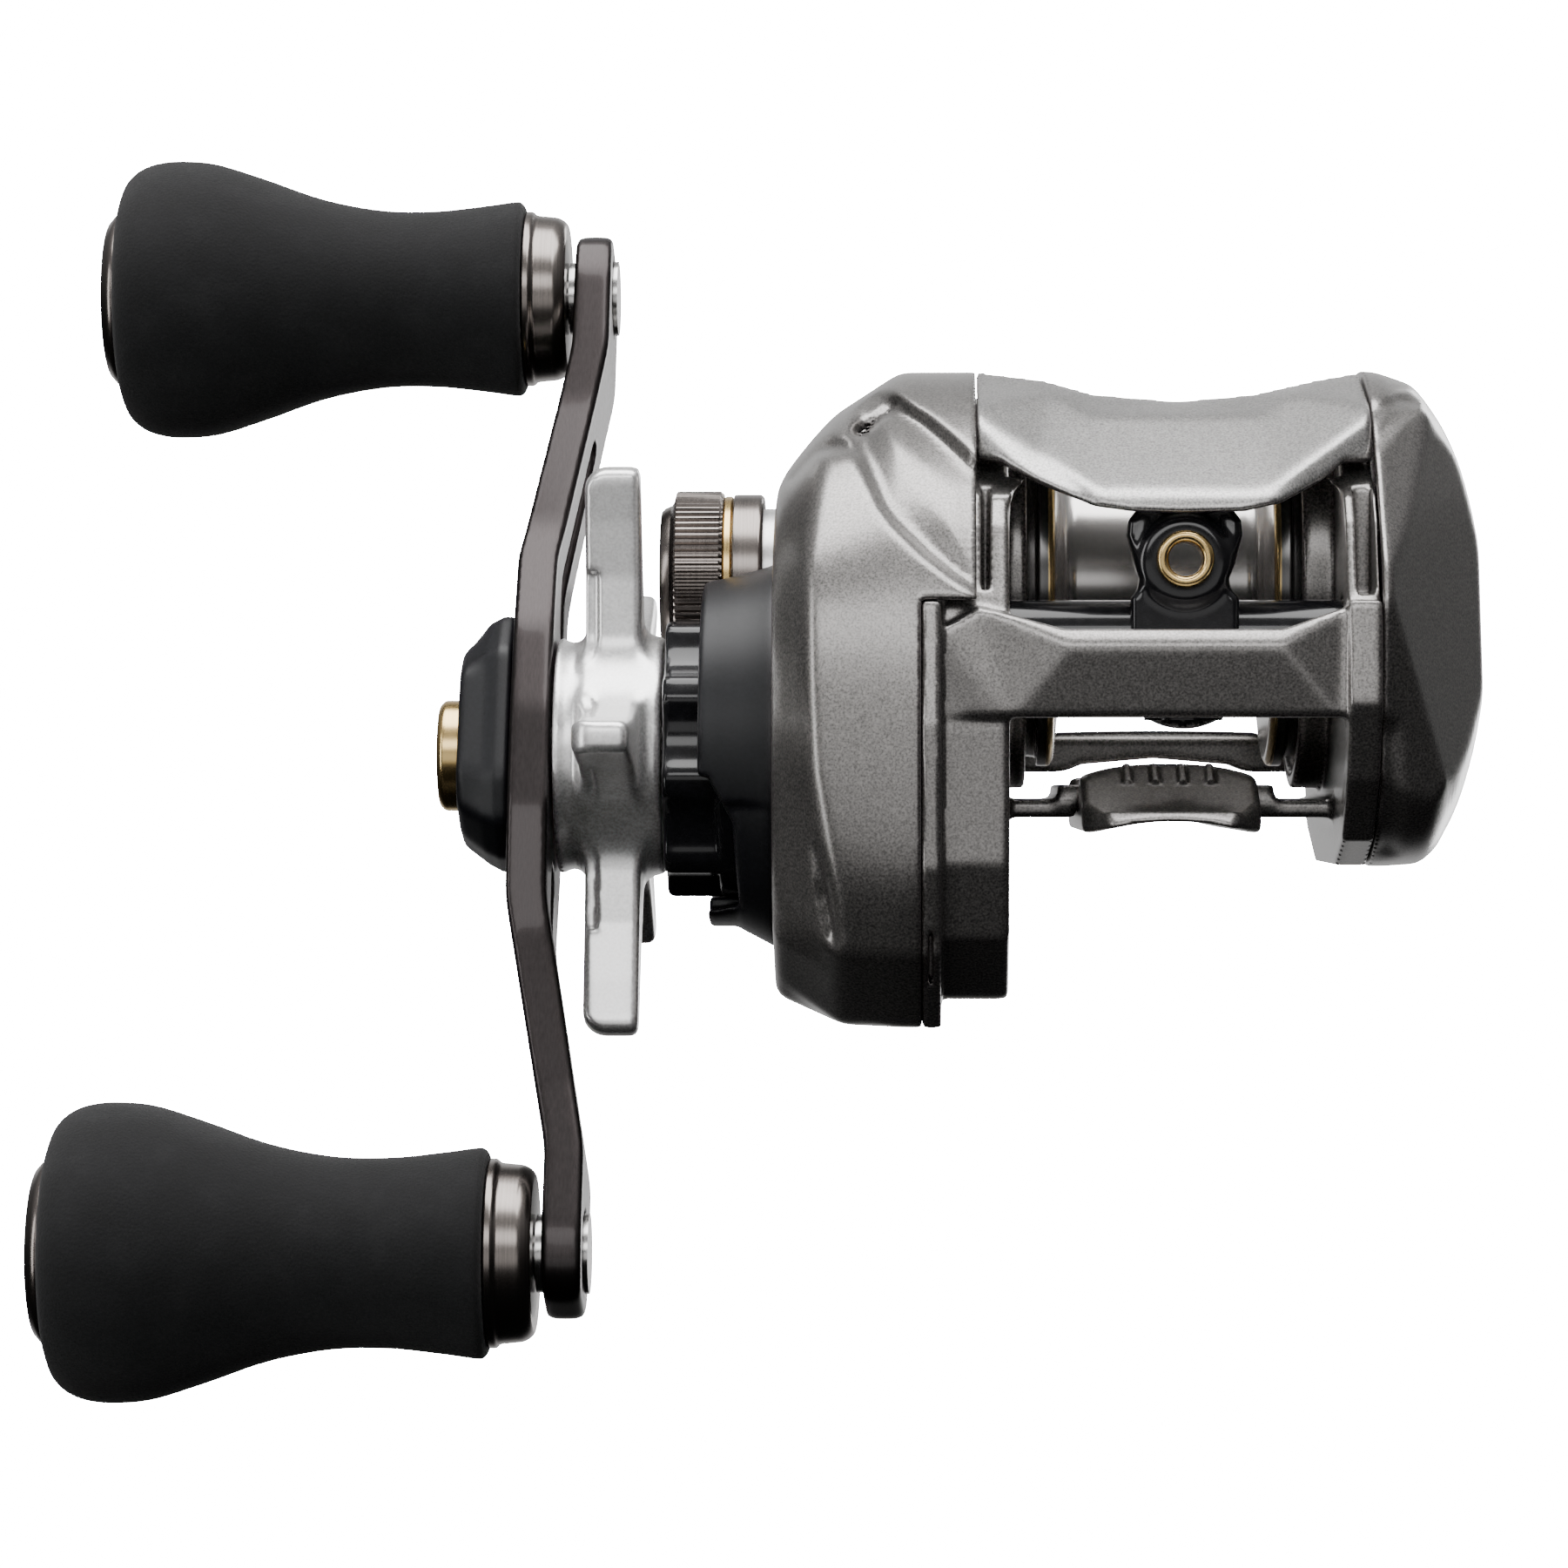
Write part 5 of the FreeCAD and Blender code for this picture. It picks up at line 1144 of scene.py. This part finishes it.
def boss_cover():
    space = Space((-41.8, DRIVE[0] - 18.2, DRIVE[1] - 18.2), (-33.8, DRIVE[0] + 18.2, DRIVE[1] + 18.2), 0.28)
    off_axis = space.rod(DRIVE, 0)
    cone = every([off_axis - 17.4 - (space.x - GEAR_FACE) * 0.53, space.along(-37.8, GEAR_FACE)], 0.5)
    tower = space.plug(DRIVE, 15.4, -40.6, GEAR_FACE, 0.5)
    slope = off_axis - 15.6 - (space.x + 41.1) * 0.238
    quarter = [2.5 - space.z, space.y - DRIVE[0] - 4]
    horn = every([slope, space.rod(DRIVE, 17.2), space.along(-41.1, GEAR_FACE)] + quarter, 0.5)
    body = any_of([cone, tower, horn], 0.6)
    body = without(body, both(space.rod(DRIVE, 12.85), space.x + 37), 0.2)
    body = without(body, space.rod(DRIVE, 9.66), 0.1)
    body = without(body, space.rod(SPOOL, 8.9), 0.4)
    notch = space.front([(-43, 5.2), (-40.2, 4.8), (-38.1, 0.9), (-37.7, -6.5), (-39.6, -6.9), (-43, -6.9)])
    body = without(body, both(space.full(notch), space.y + 4), 0.5)
    carve("shaft_boss_moulding", space, body, "matt_black", "frame", ["shaft_boss_cover"])


boss_cover()


def drum():
    space = Space((-45, DRIVE[0] - 13.6, DRIVE[1] - 13.6), (-36.6, DRIVE[0] + 13.6, DRIVE[1] + 13.6), 0.25)
    body = space.plug(DRIVE, 12.7, -44.4, -37.1, 0.7)
    for index in range(9):
        turn = math.radians(12 + 40 * index)
        place = (DRIVE[0] + 16.4 * math.cos(turn), DRIVE[1] + 16.4 * math.sin(turn))
        body = without(body, both(space.rod(place, 5.2), space.x + 39.6), 0.6)
    body = without(body, both(space.rod(DRIVE, 9.6), -43.4 - space.x), 0.1)
    body = without(body, space.rod(DRIVE, 6), 0.2)
    body = without(body, space.rod(SPOOL, 8.9), 0.3)
    carve("drag_drum_moulding", space, body, "gloss_black", "frame", ["drag_drum"])


drum()


def thumb():
    space = Space((-22.6, 21, 13.6), (14.9, 30, 18.3), 0.3)
    outline = [
        (21.6, 14.9), (22.6, 14.2), (28.4, 14.2), (29.4, 15.2), (29, 17.2), (27.8, 17.6), (24, 17.1),
        (22, 17.6),
    ]
    bar = every([space.side(outline), space.along(-13.5, 14.4)], 0.7)
    dish = np.hypot(space.x - 0.45, (space.z - 17.4 - 16)) - 16.5
    bar = without(bar, both(dish, span(space.x, -9, 9.9)), 0.6)
    tang = space.box((-22.1, -13.4), (22.2, 27), (14.4, 17), 0.3)
    body = either(bar, tang, 0.3)
    carve("thumb_bar_moulding", space, body, "matt_black", "thumb_bar", ["thumb_bar"])


thumb()

# Finishes of the other CAD nodes.

SLOT_OF = {entry["node"]: entry["material_slot"] for entry in frame["record"]["subparts"]}
for name, node in frame["nodes"].items():
    if node.hide_render:
        continue
    dress(node, SLOT_OF[name])
    node.data.shade_smooth()
    node.data.set_sharp_from_angle(angle=math.radians(28))

# The stage.

FLOOR_Z = -0.115


def backdrop():
    """A pale sweep: floor, curve and wall in one sheet."""
    line = [(-3.0, FLOOR_Z), (1.6, FLOOR_Z)]
    for step in range(1, 13):
        turn = math.pi / 2 * step / 12
        line.append((1.6 + 0.9 * math.sin(turn), FLOOR_Z + 0.9 * (1 - math.cos(turn))))
    line.append((2.5, 3.5))
    points = [(x, y, z) for y, z in line for x in (-4.0, 4.0)]
    faces = [(2 * i, 2 * i + 1, 2 * i + 3, 2 * i + 2) for i in range(len(line) - 1)]
    mesh = bpy.data.meshes.new("sweep")
    mesh.from_pydata(points, [], faces)
    mesh.shade_smooth()
    sweep = bpy.data.objects.new("sweep", mesh)
    bpy.context.scene.collection.objects.link(sweep)
    material, tree, main, place = shader("sweep", shade(WHITE, 0.9), 0.0, 0.8)
    cloud = noise(tree, place, 3.0)
    tint = ramp(tree, cloud, [(0.3, shade(WHITE, 0.88)), (0.7, shade(WHITE, 0.9))])
    tree.links.new(tint, main.inputs["Base Color"])
    put(main, {"Emission Color": (1, 1, 1, 1), "Emission Strength": 40.0})
    mesh.materials.append(material)
    sweep.visible_glossy = False
    sweep.visible_diffuse = False
    sweep.visible_shadow = False


backdrop()


def light(name, place, aim, size, power):
    """A rectangular lamp that the camera doesn't see."""
    lamp = bpy.data.lights.new(name, "AREA")
    lamp.shape = "RECTANGLE"
    lamp.size, lamp.size_y = size
    lamp.energy = power
    obj = bpy.data.objects.new(name, lamp)
    bpy.context.scene.collection.objects.link(obj)
    obj.location = place
    obj.rotation_euler = (Vector(aim) - Vector(place)).to_track_quat("-Z", "Y").to_euler()
    obj.visible_camera = False


light("overhead", (-0.05, -0.08, 0.75), (-0.02, 0.0, 0.02), (0.9, 0.6), 14.0)
light("front_high", (-0.15, -0.90, 0.40), (-0.03, 0.0, 0.02), (1.0, 0.30), 4.2)
light("front_low", (-0.10, -0.95, -0.06), (0.0, 0.0, 0.0), (1.2, 0.32), 1.2)
light("left_strip", (-0.75, -0.35, 0.10), (-0.05, 0.0, 0.0), (0.16, 0.7), 2.2)
light("right_strip", (0.34, 0.80, 0.12), (0.0, 0.0, 0.01), (0.16, 0.7), 2.4)

world = bpy.data.worlds.new("studio")
bpy.context.scene.world = world
world.use_nodes = True
tree = world.node_tree
sky = tree.nodes["Background"]
place = tree.nodes.new("ShaderNodeTexCoord")
parts = tree.nodes.new("ShaderNodeSeparateXYZ")
tree.links.new(place.outputs["Generated"], parts.inputs["Vector"])
height = spread(tree, parts.outputs["Z"], 0.0, 1.0, -1.0, 1.0)
fall = ramp(tree, height, [
    (0.0, shade(WHITE, 0.004)), (0.44, shade(WHITE, 0.010)), (0.52, shade(WHITE, 0.038)),
    (0.60, shade(WHITE, 0.09)), (0.75, (0.26, 0.26, 0.265)), (1.0, shade(WHITE, 0.6)),
])
back = spread(tree, parts.outputs["Y"], 0.0, 0.9, 0.74, 0.95)
total = tree.nodes.new("ShaderNodeMix")
total.data_type = "RGBA"
total.blend_type = "ADD"
put(total, {"Factor": 1.0})
tree.links.new(fall, total.inputs["A"])
tree.links.new(back, total.inputs["B"])
tree.links.new(total.outputs["Result"], sky.inputs["Color"])
put(sky, {"Strength": 1.0})

lens = bpy.data.cameras.new("camera")
camera = bpy.data.objects.new("camera", lens)
bpy.context.scene.collection.objects.link(camera)
camera.location = (-0.0194, -0.492, 0.00425)
camera.rotation_euler = (math.radians(90), 0, math.radians(1.7))
lens.sensor_width = 36.0
lens.lens = 124.73
lens.clip_start, lens.clip_end = 0.01, 20.0
bpy.context.scene.camera = camera
